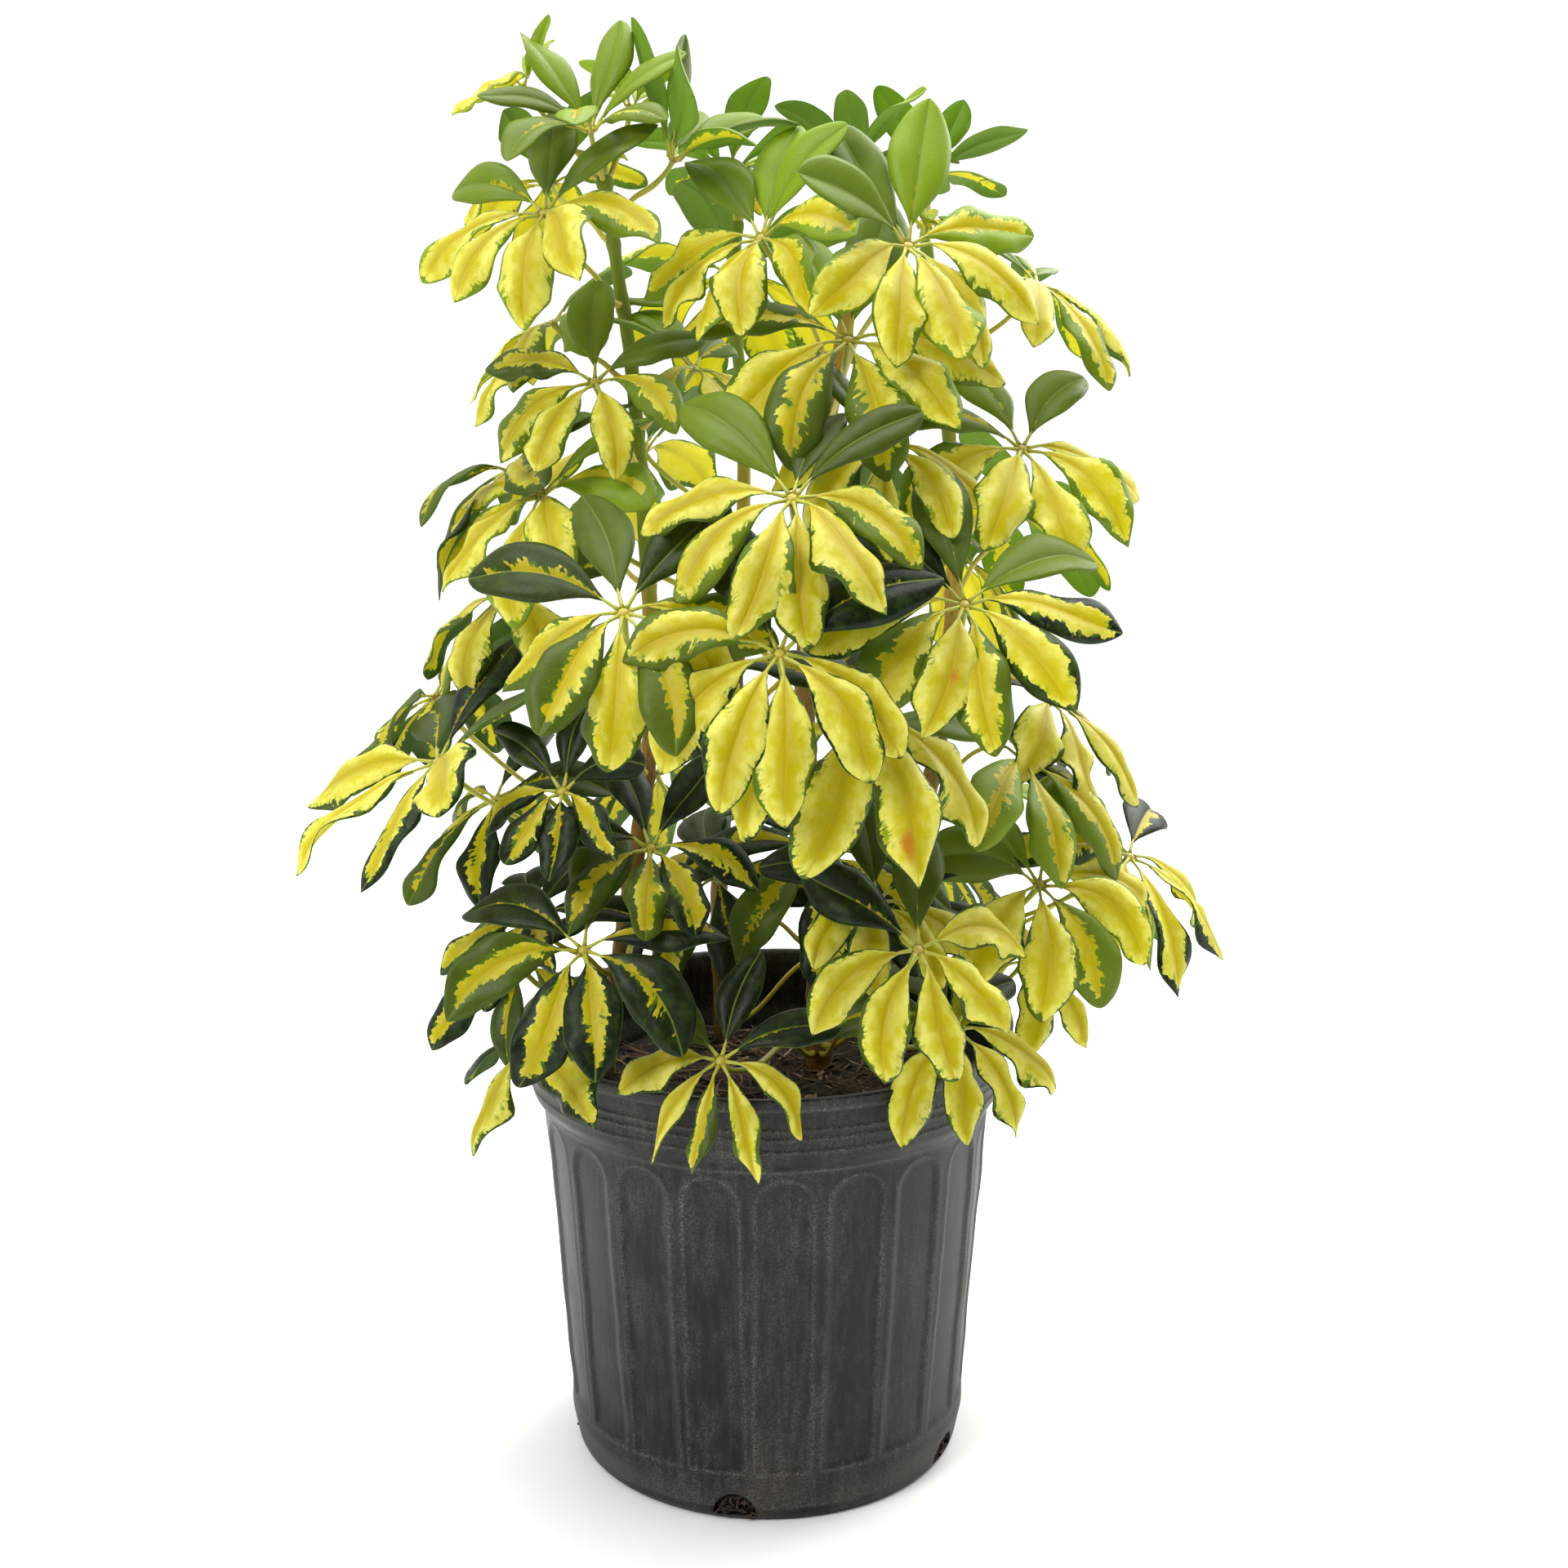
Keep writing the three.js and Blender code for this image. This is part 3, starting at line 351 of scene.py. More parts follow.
@dataclass(frozen=True)
class WoodyBark:
    """The thin bark of a shrub: fissured lengthwise and brown low down, tan and then green where it is young.

    The carried age runs from 0 at a green tip to 1 at the foot.
    """

    name: str = "fissured_shrub_bark"
    green: str = "#74862a"
    tan: str = "#b99a40"
    brown: str = "#886a34"
    crack: str = "#4a3718"
    fissure: tuple[float, float] = (1.3, 11.0)  # millimetres across and along
    blotch: tuple[float, float] = (8.0, 22.0)  # and of the patches of older bark

    def make(self) -> bpy.types.Material:
        """Wires the material from the age that each stem carries on its points.

        Returns:
            the finished material.
        """
        r = Recipe(self.name)
        age = r.add("Attribute", attribute_name="age").node.outputs["Fac"]
        place = r.add("TexCoord").node.outputs["Object"]
        long_cells = r.add("VectorMath", place, per_length(self.fissure), operation="MULTIPLY")
        blotches = r.add("VectorMath", place, per_length(self.blotch), operation="MULTIPLY")
        streak = r.add("TexNoise", long_cells, named={"Scale": 1.0, "Detail": 3.0, "Roughness": 0.65})
        blotch = r.add("TexNoise", blotches, named={"Scale": 1.0, "Detail": 2.0})
        shifted = r.add("Math", blotch, 0.5, age, operation="MULTIPLY_ADD")
        ramp = r.add("ValToRGB", r.add("Math", shifted, -0.25, operation="ADD"))
        colours = ramp.node.color_ramp
        colours.elements[0].position, colours.elements[0].color = 0.12, linear(self.green)
        colours.elements[1].position, colours.elements[1].color = 0.78, linear(self.brown)
        colours.elements.new(0.42).color = linear(self.tan)
        cracked = r.add("MapRange", streak, 0.44, 0.33)
        depth = r.add("MapRange", age, 0.2, 0.9, 0.12, 0.8)
        cracks = r.add("Math", cracked, depth, operation="MULTIPLY")
        colour = r.add("Mix", cracks, ramp, self.crack, **COLOURS)
        bump = r.add("Bump", named={"Strength": 0.8, "Distance": 0.8 * MM, "Height": streak})
        return r.done(r.add("BsdfPrincipled", colour, named={"Roughness": 0.72, "Normal": bump,
                                                             "Specular IOR Level": 0.25}))


@dataclass(frozen=True)
class MouldedPolyethylene:
    """Black high-density polyethylene, blow moulded: a soft satin that has gone chalky with dust and scuffs.

    The carried wear runs from 0 on a plain wall to 1 along the edges that rub and hold the dust.
    """

    name: str = "moulded_black_polyethylene"
    black: str = "#060706"
    grey: str = "#111210"
    dust: str = "#72716a"
    clay: str = "#3b382f"
    speck: tuple[float, float] = (1.1, 1.1)  # millimetres across and up, of the dust specks,
    haze: tuple[float, float] = (34.0, 56.0)  # of the clouds of bleached skin
    smear: tuple[float, float] = (4.0, 26.0)  # and of the wiped streaks
    splashed: float = 70.0  # the height in millimetres that dried mud reaches

    def make(self) -> bpy.types.Material:
        """Wires the material from the place of a point and the wear that it carries.

        Returns:
            the finished material.
        """
        r = Recipe(self.name)
        wear = r.add("Attribute", attribute_name="wear").node.outputs["Fac"]
        place = r.add("TexCoord").node.outputs["Object"]

        def noise(size: tuple[float, float], detail: float) -> bpy.types.NodeSocket:
            """A noise as coarse as the sizes, in millimetres across and up."""
            scaled = r.add("VectorMath", place, per_length(size), operation="MULTIPLY")
            return r.add("TexNoise", scaled, named={"Scale": 1.0, "Detail": detail, "Roughness": 0.6})

        specks, cloud, streaks = noise(self.speck, 2.0), noise(self.haze, 4.0), noise(self.smear, 4.0)
        shade = r.add("Mix", cloud, self.black, self.grey, **COLOURS)
        chalk = r.add("MapRange", r.add("Math", streaks, cloud, operation="MULTIPLY"), 0.17, 0.42, 0.0, 0.34)
        worn = r.add("Math", wear, 0.42, chalk, operation="MULTIPLY_ADD")
        dotted = r.add("MapRange", specks, 0.42, 0.66)
        dots = r.add("Math", dotted, 1.1, 0.2, operation="MULTIPLY_ADD")
        dusty = r.add("Math", worn, dots, operation="MULTIPLY")
        colour = r.add("Mix", dusty, shade, self.dust, **COLOURS)
        height = r.add("SeparateXYZ", place).node.outputs["Z"]
        low = r.add("MapRange", height, self.splashed * MM, 0.0, 0.0, 0.5)
        patchy = r.add("MapRange", cloud, 0.45, 0.7)
        colour = r.add("Mix", r.add("Math", low, patchy, operation="MULTIPLY"), colour, self.clay, **COLOURS)
        matt = r.add("MapRange", dusty, 0.0, 0.4, 0.4, 0.75)
        relief = r.add("Math", streaks, 0.5, specks, operation="MULTIPLY_ADD")
        bump = r.add("Bump", named={"Strength": 0.25, "Distance": 0.3 * MM, "Height": relief})
        return r.done(r.add("BsdfPrincipled", colour, named={"Roughness": matt, "Normal": bump, "IOR": 1.54,
                                                             "Specular IOR Level": 0.2}))


@dataclass(frozen=True)
class ShreddedBark:
    """Milled and torn bark fibre in peat: dull brown splinters over a nearly black damp bed."""

    name: str = "shredded_bark"
    peat: str = "#17110b"
    dark: str = "#34251a"
    brown: str = "#64492f"
    pale: str = "#a58c6a"
    fibre: tuple[float, float] = (0.6, 0.6)  # millimetres between torn fibres, across and up

    def make(self) -> bpy.types.Material:
        """Wires the material from the draw that each splinter carries on its points.

        Returns:
            the finished material.
        """
        r = Recipe(self.name)
        draw = r.add("Attribute", attribute_name="draw").node.outputs["Fac"]
        place = r.add("TexCoord").node.outputs["Object"]
        scaled = r.add("VectorMath", place, per_length(self.fibre), operation="MULTIPLY")
        fibres = r.add("TexNoise", scaled, named={"Scale": 1.0, "Detail": 2.0})
        about = r.add("Math", fibres, -0.5, operation="ADD")
        ramp = r.add("ValToRGB", r.add("Math", about, 0.35, draw, operation="MULTIPLY_ADD"))
        colours = ramp.node.color_ramp
        colours.elements[0].position, colours.elements[0].color = 0.05, linear(self.peat)
        colours.elements[1].position, colours.elements[1].color = 1.0, linear(self.pale)
        colours.elements.new(0.35).color = linear(self.dark)
        colours.elements.new(0.7).color = linear(self.brown)
        bump = r.add("Bump", named={"Strength": 0.6, "Distance": 0.4 * MM, "Height": fibres})
        return r.done(r.add("BsdfPrincipled", ramp, named={"Roughness": 0.9, "Normal": bump}))


@dataclass(frozen=True)
class PaintedFloor:
    """A floor under plain white matt paint, as a studio has: it takes a soft shadow and nothing else."""

    name: str = "matt_white_paint"
    white: str = "#f4f4f2"

    def make(self) -> bpy.types.Material:
        """Wires the material."""
        r = Recipe(self.name)
        return r.done(r.add("BsdfPrincipled", self.white, named={"Roughness": 0.9}))


# ---------------------------------------------------------------- putting meshes together
@dataclass
class Draft:
    """A piece that is being put together from closed skins, with the values that its points carry.

    Args:
        name: the piece's name.
        carried: the names of the values.
    """

    name: str
    carried: tuple[str, ...] = ()
    points: list[np.ndarray] = field(default_factory=list)
    faces: list[tuple[int, ...]] = field(default_factory=list)
    finishes: list[int] = field(default_factory=list)
    values: dict[str, list[np.ndarray]] = field(default_factory=dict)
    count: int = 0

    def add(self, points: np.ndarray, faces: Iterable[Sequence[int]], finish: int = 0,
            **values: float | np.ndarray) -> None:
        """Adds one skin.

        Args:
            points: its points, one a row.
            faces: the rows that make each face.
            finish: which of the piece's materials it takes.
            values: for each carried name, a number or one number a point. A name left out carries 0.
        """
        faces = [tuple(int(k) + self.count for k in face) for face in faces]
        self.points.append(points)
        self.faces += faces
        self.finishes += [finish] * len(faces)
        for name in self.carried:
            value = np.broadcast_to(np.asarray(values.get(name, 0.0), float), len(points))
            self.values.setdefault(name, []).append(value)
        self.count += len(points)

    def tube(self, path: np.ndarray, radii: np.ndarray, sides: int = 8, flat: float = 1.0,
             up: Sequence[float] = (0, 0, 1), **values: float | np.ndarray) -> None:
        """Adds a closed tube along a path.

        Args:
            path: its middle, one point a row.
            radii: its radius at each of them.
            sides: how many corners it has round it.
            flat: its thickness upwards as a share of its width.
            up: the direction that it is flattened in.
            values: what its points carry, one number a row of the path, and the finish.
        """
        ahead = np.gradient(path, axis=0)
        ahead /= np.linalg.norm(ahead, axis=1)[:, None]
        side = np.cross(ahead, np.asarray(up, float))
        side /= np.linalg.norm(side, axis=1)[:, None] + 1e-12
        over = np.cross(ahead, side)
        turns = np.arange(sides) * 2 * math.pi / sides
        ring = (np.cos(turns)[None, :, None] * side[:, None]
                + flat * np.sin(turns)[None, :, None] * over[:, None])
        points = (path[:, None] + radii[:, None, None] * ring).reshape(-1, 3)
        finish = values.pop("finish", 0)
        spread = {name: np.repeat(np.broadcast_to(value, len(path)), sides) for name, value in values.items()}
        self.add(points, closed_rings(len(path), sides), finish, **spread)

    def build(self, materials: Sequence[bpy.types.Material], smooth: bool = True) -> bpy.types.Object:
        """Makes the piece as one object with its materials.

        Args:
            materials: what its faces take, by the numbers of their finishes.
            smooth: true if its faces are shaded as one round surface.

        Returns:
            the piece, in the scene.
        """
        mesh = bpy.data.meshes.new(self.name)
        mesh.from_pydata(np.concatenate(self.points).tolist(), [], self.faces)
        for material in materials:
            mesh.materials.append(material)
        mesh.polygons.foreach_set("material_index", self.finishes)
        mesh.polygons.foreach_set("use_smooth", [smooth] * len(self.faces))
        for name, value in self.values.items():
            mesh.attributes.new(name, "FLOAT", "POINT").data.foreach_set("value", np.concatenate(value))
        mesh.update()
        piece = bpy.data.objects.new(self.name, mesh)
        bpy.context.scene.collection.objects.link(piece)
        return piece


def closed_rings(rows: int, sides: int) -> list[tuple[int, ...]]:
    """The faces of a tube of rings with its two ends closed, for rings that run the same way round.

    Args:
        rows: how many rings the tube has.
        sides: how many corners each ring has.

    Returns:
        each face as its corners' numbers, ring after ring.
    """
    faces = [(k * sides + j, k * sides + (j + 1) % sides, (k + 1) * sides + (j + 1) % sides,
              (k + 1) * sides + j) for k in range(rows - 1) for j in range(sides)]
    last = (rows - 1) * sides
    return faces + [tuple(range(sides))[::-1], tuple(range(last, last + sides))]


def through(shares: Sequence[float], values: np.ndarray, at: np.ndarray) -> np.ndarray:
    """A smooth curve through a few values.

    Args:
        shares: where along the curve each value lies, rising.
        values: the values, one a row.
        at: where the curve is wanted.

    Returns:
        The curve's values there, one a row.
    """
    shares = np.asarray(shares, float)
    slopes = np.gradient(values, shares, axis=0)
    near = np.clip(np.searchsorted(shares, at, side="right") - 1, 0, len(shares) - 2)
    width = (shares[near + 1] - shares[near])[:, None]
    t = (at - shares[near])[:, None] / width
    return ((2 * t ** 3 - 3 * t ** 2 + 1) * values[near] + (t ** 3 - 2 * t ** 2 + t) * width * slopes[near]
            + (3 * t ** 2 - 2 * t ** 3) * values[near + 1] + (t ** 3 - t ** 2) * width * slopes[near + 1])


def unit(vectors: np.ndarray) -> np.ndarray:
    """The vectors at length 1, along their last axis."""
    return vectors / (np.linalg.norm(vectors, axis=-1, keepdims=True) + 1e-12)


def smoothstep(value: np.ndarray, low: float, high: float) -> np.ndarray:
    """Rises smoothly from 0 at the low value to 1 at the high one."""
    share = np.clip((value - low) / (high - low), 0, 1)
    return share * share * (3 - 2 * share)


def ripples(points: np.ndarray, size: float, seed: int, count: int = 9) -> np.ndarray:
    """An uneven surface that repeats for the same seed.

    Args:
        points: where it is wanted, one a row.
        size: how far apart its swells are, in the points' unit.
        seed: which surface it is.
        count: how many waves it is made of.

    Returns:
        A value between about -1 and 1 for each point.
    """
    rng = np.random.default_rng(seed)
    aims = unit(rng.normal(size=(count, points.shape[1])))
    lengths = size * rng.uniform(0.6, 1.7, count)
    phases = rng.uniform(0, 2 * math.pi, count)
    return np.sin(2 * math.pi * (points @ aims.T) / lengths + phases).sum(axis=1) / math.sqrt(count * 2)


def settle(piece: bpy.types.Object, slot: str, *nodes: str) -> bpy.types.Object:
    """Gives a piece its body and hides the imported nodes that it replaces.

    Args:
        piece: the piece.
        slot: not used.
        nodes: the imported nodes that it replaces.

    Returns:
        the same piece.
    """
    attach(piece, BODY)
    if nodes:
        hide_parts(*nodes)
    log.info("%s: %d faces, for %s", piece.name, len(piece.data.polygons), ", ".join(nodes) or "no node")
    return piece


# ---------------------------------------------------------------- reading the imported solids
class SolidGraph:
    """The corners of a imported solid, and which of them share an edge."""

    MERGE = 2e-6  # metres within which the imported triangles' corners are one

    def __init__(self, node: str) -> None:
        """Reads a node's mesh.

        Args:
            node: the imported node's name.
        """
        mesh = bmesh.new()
        mesh.from_mesh(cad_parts[node].data)
        bmesh.ops.remove_doubles(mesh, verts=mesh.verts, dist=self.MERGE)
        mesh.verts.ensure_lookup_table()
        self.points = np.array([vert.co for vert in mesh.verts])
        self.near = [{edge.other_vert(vert).index for edge in vert.link_edges} for vert in mesh.verts]
        mesh.free()

    def layers(self, start: Iterable[int], limit: int, closed: Iterable[int] = ()) -> list[list[int]]:
        """The corners one, two and more edges away from some.

        Args:
            start: the corners to start from.
            limit: how many layers are wanted.
            closed: corners that are never entered.

        Returns:
            Each layer's corners, the nearest layer first.
        """
        seen, front, found = {*start, *closed}, set(start), []
        while len(found) < limit and front:
            front = set().union(*(self.near[k] for k in front)) - seen
            seen |= front
            found.append(sorted(front))
        return found

    def middle(self, corners: Sequence[int]) -> np.ndarray:
        """The mean place of some corners."""
        return self.points[list(corners)].mean(axis=0)


@dataclass(frozen=True)
class LeafletLine:
    """Where a leaflet runs in its solid: its middle and its right-hand direction from its hub to its tip."""

    SHARES = (0.0, 0.13, 0.4, 0.72, 1.0)  # of its length: hub, stalk's end, two sections of the blade, tip
    middle: np.ndarray
    right: np.ndarray

    @property
    def length(self) -> float:
        """The way from the hub to the tip."""
        return float(np.linalg.norm(np.diff(self.middle, axis=0), axis=1).sum())

    @property
    def rise(self) -> float:
        """How steeply it points up, from -1 to 1."""
        return float(unit(self.middle[-1] - self.middle[0])[2])


class LeafSkeleton:
    """The lines of a compound leaf, read from its solid."""

    TIP_CLEAR = 5 * MM  # every corner next to a leaflet's tip is further off

    def __init__(self, node: str) -> None:
        """Reads a leaf.

        Args:
            node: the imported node's name.
        """
        self.graph = SolidGraph(node)
        tips = [k for k in range(len(self.graph.points)) if self.is_tip(k)]
        blades = [self.graph.layers([tip], 4) for tip in tips]
        bases = [set(layers[3]) for layers in blades]
        base_corners = set().union(*bases)
        crown = next(k for k, near in enumerate(self.graph.near) if near and near <= base_corners)
        self.leaflets = [self.leaflet(tip, layers, crown) for tip, layers in zip(tips, blades)]
        taken = base_corners.union({crown}, tips, *(ring for layers in blades for ring in layers[:3]))
        rings = self.graph.layers(base_corners, 4, taken)
        self.hub = self.graph.middle(sorted(base_corners))
        self.axis = unit(self.graph.points[crown] - self.hub)
        self.petiole = np.array([self.graph.middle(ring) for ring in rings])
        foot = self.graph.points[rings[-1]]
        inward = unit(np.cross(foot[1] - foot[0], foot[2] - foot[0]))
        ahead = self.petiole[-1] - self.petiole[-2]
        self.foot_aim = inward * math.copysign(1, float(inward @ ahead))

    def is_tip(self, corner: int) -> bool:
        """Tells if the corners next to this one are four, far off and all on one side of it.

        Args:
            corner: the corner that is looked at.

        Returns:
            true for the tip of a leaflet.
        """
        near = sorted(self.graph.near[corner])
        ways = self.graph.points[near] - self.graph.points[corner]
        if len(near) != 4 or np.linalg.norm(ways, axis=1).min() < self.TIP_CLEAR:
            return False
        return bool((unit(ways) @ unit(ways).T).min() > 0)

    def leaflet(self, tip: int, layers: list[list[int]], crown: int) -> LeafletLine:
        """Reads one leaflet from the rings behind its tip.

        Args:
            tip: the corner at the leaflet's tip.
            layers: the four rings of corners behind it, the nearest first.
            crown: the corner on top of the hub.

        Returns:
            where the leaflet runs.
        """
        points, near = self.graph.points, self.graph.near
        outer, inner, stalk, base = layers
        keel = next(k for k in base if k not in near[crown])
        ridge = next(k for k in base if k not in near[keel] and k != keel)
        middles = [points[[keel, ridge]].mean(axis=0), self.graph.middle(stalk)]
        up = unit(points[ridge] - points[keel])
        rights = [np.zeros(3)] * 2
        for ring in (inner, outer):
            opposite = [(a, b) for a in ring for b in ring if a < b and b not in near[a]]
            thick, wide = sorted(opposite, key=lambda pair: np.linalg.norm(points[pair[0]] - points[pair[1]]))
            middles.append(points[list(thick)].mean(axis=0))
            ahead = unit(middles[-1] - middles[-2])
            right = unit(points[wide[1]] - points[wide[0]])
            right *= math.copysign(1, float(np.cross(up, ahead) @ right))
            up = unit(np.cross(ahead, right))
            rights.append(right)
        rights[0] = rights[1] = rights[2]
        return LeafletLine(np.array([*middles, points[tip]]), np.array([*rights, rights[-1]]))


# ---------------------------------------------------------------- compound leaves
class LeafFinish(IntEnum):
    """The place of each finish among a leaf's materials."""

    BLADE = 0
    STALK = 1


class Tone(Enum):
    """How yellow a leaf's leaflets are at most: the share on one that hangs, and on one that stands."""

    GREEN = (0.72, 0.12)
    MIXED = (1.0, 0.16)
    GOLDEN = (1.06, 0.3)


# The leaves of each tone, by number. The others are mixed.
TONES = {
    Tone.GREEN: (3, 4, 13, 15, 16, 17, 18, 19, 21, 22, 28, 31, 32, 37, 38, 42, 46, 48, 52, 53),
    Tone.GOLDEN: (1, 11, 14, 26, 29, 30, 34, 36, 40, 43, 45),
}
YOUNG_LEAVES = (1, 2)
LIME_LEAVES = (10, 31, 42, 44, 46)  # full grown, but of a lighter green than their neighbours
ROLLED_LEAVES = (35,)  # whose hanging blades are half rolled up and twisted
# Where a dry brown spot sits: leaf, leaflet, share of the blade's length, side and radius in millimetres.
SCORCHES = ((30, 0, 0.74, -0.25, 3.8), (41, 4, 0.5, 0.1, 2.1))


@dataclass(frozen=True)
class BladeForm:
    """The form of one leaflet's blade. What isn't a length is a share of its half width.

    Args:
        gold: how yellow it is, from 0 to 1, because yellow blades grow wavier and less even.
        rng: the draws that make it differ from its neighbours.
        rolled: true if it is half rolled up, so that it is narrow and twists over.
        breadth: its width as a share of the usual one.
    """

    gold: float
    rng: np.random.Generator
    rolled: bool = False
    breadth: float = 1.0
    STARTS = 0.12  # of the leaflet's length, where the blade leaves its stalk
    HALF_WIDTH = 0.19  # of the leaflet's length
    ROLLED_WIDTH = 0.7  # of that, on a blade that is half rolled up
    THICKNESS = 0.5 * MM
    KEEL = 1.1 * MM  # how far the midrib stands out below
    GROOVE = 0.25 * MM  # and how deep it lies above
    RIB_SPREAD = 0.05  # the midrib's reach to each side
    ROWS = 22
    COLUMNS = (0.0, 0.06, 0.2, 0.4, 0.62, 0.83, 1.0)  # from the midrib to the margin
    CURLED = 0.2  # the share of the blades that twist right over
    # The lowest and the highest that is drawn for a blade. Degrees of twist: at the tip of one that twists
    # over, of a plain one and of a rolled one, and halfway along.
    STRONG_CURL, MILD_CURL, ROLLED_CURL, SWAY = (-65, 65), (-14, 14), (45, 80), (-8, 8)
    BREADTHS = (0.9, 1.12)  # its width as a share of the usual one
    WIDEST = (0.47, 0.62)  # where along it that is
    TAPER = (0.52, 0.78)  # how pointed its tip is
    FOLD = (0.36, 0.54)  # how steeply each half rises from the midrib
    ROLL = (0.3, 0.62)  # how far the margin turns down again
    LOBES, WAVES, SWINGS = (1.6, 3.2), (1.2, 2.4), (0.6, 1.1)  # waves of outline, margin and midrib
    SICKLE = (-0.26, 0.26)  # how far its middle lies to one side
    TIP_ASIDE = (-0.3, 0.3)  # and its tip
    HOOK = 0.09  # of the leaflet's length, how far the most hooked tip bends down

    @staticmethod
    def outline(u: np.ndarray, widest: float, taper: float) -> np.ndarray:
        """The half width at each share of the blade's length: a wedge that widens, then a tapered tip.

        Args:
            u: shares of the blade's length.
            widest: the share where the blade is widest.
            taper: how pointed the tip is, from about 0.5 for a round one to 1.1 for a sharp one.

        Returns:
            Shares of the largest half width.
        """
        foot = 0.05 + 0.95 * np.sin(math.pi / 2 * np.clip(u / widest, 0, 1) ** 0.82) ** 1.7
        tip = np.clip(1 - np.clip((u - widest) / (1.001 - widest), 0, 1) ** 2.2, 0, 1) ** taper
        return np.where(u < widest, foot, tip)

    def surface(self, line: LeafletLine) -> tuple[np.ndarray, dict[str, np.ndarray]]:
        """The blade's middle surface, as rows and columns of points.

        Args:
            line: where the leaflet runs.

        Returns:
            its points, and by name the lengths that its pattern reads.
        """
        u = 1 - (1 - np.linspace(0, 1, self.ROWS)) ** 1.7
        v = np.array([*(-c for c in self.COLUMNS[:0:-1]), *self.COLUMNS])
        share = self.STARTS + (1 - self.STARTS) * u
        middle = through(line.SHARES, line.middle, share)
        ahead = unit(np.gradient(middle, share, axis=0))
        right = through(line.SHARES, line.right, share)
        right = unit(right - ahead * (right * ahead).sum(axis=1)[:, None])
        up = np.cross(ahead, right)
        draw = self.rng.uniform
        wild = smoothstep(np.array(self.gold), 0.35, 0.95)
        curl = draw(*self.STRONG_CURL) if draw(0, 1) < self.CURLED else draw(*self.MILD_CURL) * (1 + wild)
        if self.rolled:
            curl = math.copysign(draw(*self.ROLLED_CURL), curl)
        twist = (np.radians(curl) * u ** 2
                 + np.radians(draw(*self.SWAY) * (1 + wild)) * np.sin(math.pi * u))
        right, up = (right * np.cos(twist)[:, None] + up * np.sin(twist)[:, None],
                     up * np.cos(twist)[:, None] - right * np.sin(twist)[:, None])
        length = line.length
        half = self.HALF_WIDTH * length * draw(*self.BREADTHS) * self.breadth
        half *= self.ROLLED_WIDTH if self.rolled else 1
        aside, left = np.abs(v), v[None] < 0
        # The outline, which yellow blades notch more, differently on each half.
        lobes = 0.04 + 0.11 * wild
        notch = [1 + lobes * np.sin(2 * math.pi * (draw(*self.LOBES) * u + draw(0, 1))) * u * draw(0.4, 1)
                 for _ in (0, 1)]
        plain = self.outline(u, draw(*self.WIDEST), draw(*self.TAPER) + 0.36 * wild * draw(0, 1))[:, None]
        width = plain * half * np.where(left, notch[0][:, None], notch[1][:, None])
        # Each half rises from the midrib, turns down at the margin and ripples along it.
        fold, roll = draw(*self.FOLD) - 0.08 * wild, draw(*self.ROLL) + 0.1 * wild
        lift = width * (fold * aside - roll * aside ** 2.6)[None]
        waves = [draw(*self.WAVES) * u + draw(0, 1) for _ in (0, 1)]
        ripple = (0.06 + 0.24 * wild) * draw(0.5, 1.2)
        one, other = [np.sin(2 * math.pi * wave)[:, None] for wave in waves]
        wave = np.where(left, one, other)
        lift = lift + half * ripple * plain * aside[None] ** 2 * wave
        # The midrib swings, its tip hooks down, and the whole blade bows to one side.
        swing, hook = draw(*self.SWINGS), draw(0, 1)
        lift = lift + (half * 0.1 * np.sin(2 * math.pi * (swing * u + hook)) * u)[:, None]
        lift = lift - (self.HOOK * hook * length * u ** 3)[:, None]
        sickle = draw(*self.SICKLE) * (1 + 0.5 * wild)
        bow = half * (sickle * np.sin(math.pi * u) + draw(*self.TIP_ASIDE) * (1 + 0.5 * wild) * u ** 2)
        across = v[None] * width
        points = (middle[:, None] + right[:, None] * (across + bow[:, None])[..., None]
                  + up[:, None] * lift[..., None])
        along = np.broadcast_to((u * (1 - self.STARTS) * length)[:, None], across.shape)
        to_tip = (1 - u)[:, None] * length * (1 - self.STARTS)
        margin = np.maximum(np.broadcast_to(aside[None], across.shape), 1 - to_tip / (0.75 * half))
        reach = np.broadcast_to(u[:, None], across.shape)
        return points, {"along": along / MM, "across": across / MM, "margin": margin, "reach": reach}

    def add_to(self, draft: Draft, line: LeafletLine, **carried: float) -> dict[str, np.ndarray]:
        """Adds the blade, upper and lower face and rim, to a draft.

        Args:
            draft: the leaf that it is part of.
            line: where it runs.
            carried: the values that are one for the whole blade.

        Returns:
            The lengths that its pattern reads, row by row.
        """
        surface, lengths = self.surface(line)
        rows, columns = surface.shape[:2]
        normal = unit(np.cross(np.gradient(surface, axis=0), np.gradient(surface, axis=1)))
        aside = np.abs(np.array([*self.COLUMNS[:0:-1], *self.COLUMNS]))
        thick = self.THICKNESS * (1 - 0.35 * aside)[None, :, None] / 2
        fade = (1 - np.linspace(0, 1, rows))[:, None, None] ** 0.8
        on_rib = np.exp(-(aside / self.RIB_SPREAD) ** 2)[None, :, None]
        keel, groove = self.KEEL * on_rib * fade, self.GROOVE * on_rib * fade
        upper, lower = surface + normal * (thick - groove), surface - normal * (thick + keel)
        grid = np.arange(rows * columns).reshape(rows, columns)
        quads = np.stack([grid[:-1, :-1], grid[1:, :-1], grid[1:, 1:], grid[:-1, 1:]], axis=-1).reshape(-1, 4)
        edge = np.concatenate([grid[0, :-1], grid[:-1, -1], grid[-1, :0:-1], grid[:0:-1, 0]])
        below = rows * columns
        rim = np.stack([edge, np.roll(edge, -1), np.roll(edge, -1) + below, edge + below], axis=-1)
        faces = np.concatenate([quads, quads[:, ::-1] + below, rim])
        values = {name: np.tile(value.reshape(-1), 2) for name, value in lengths.items()}
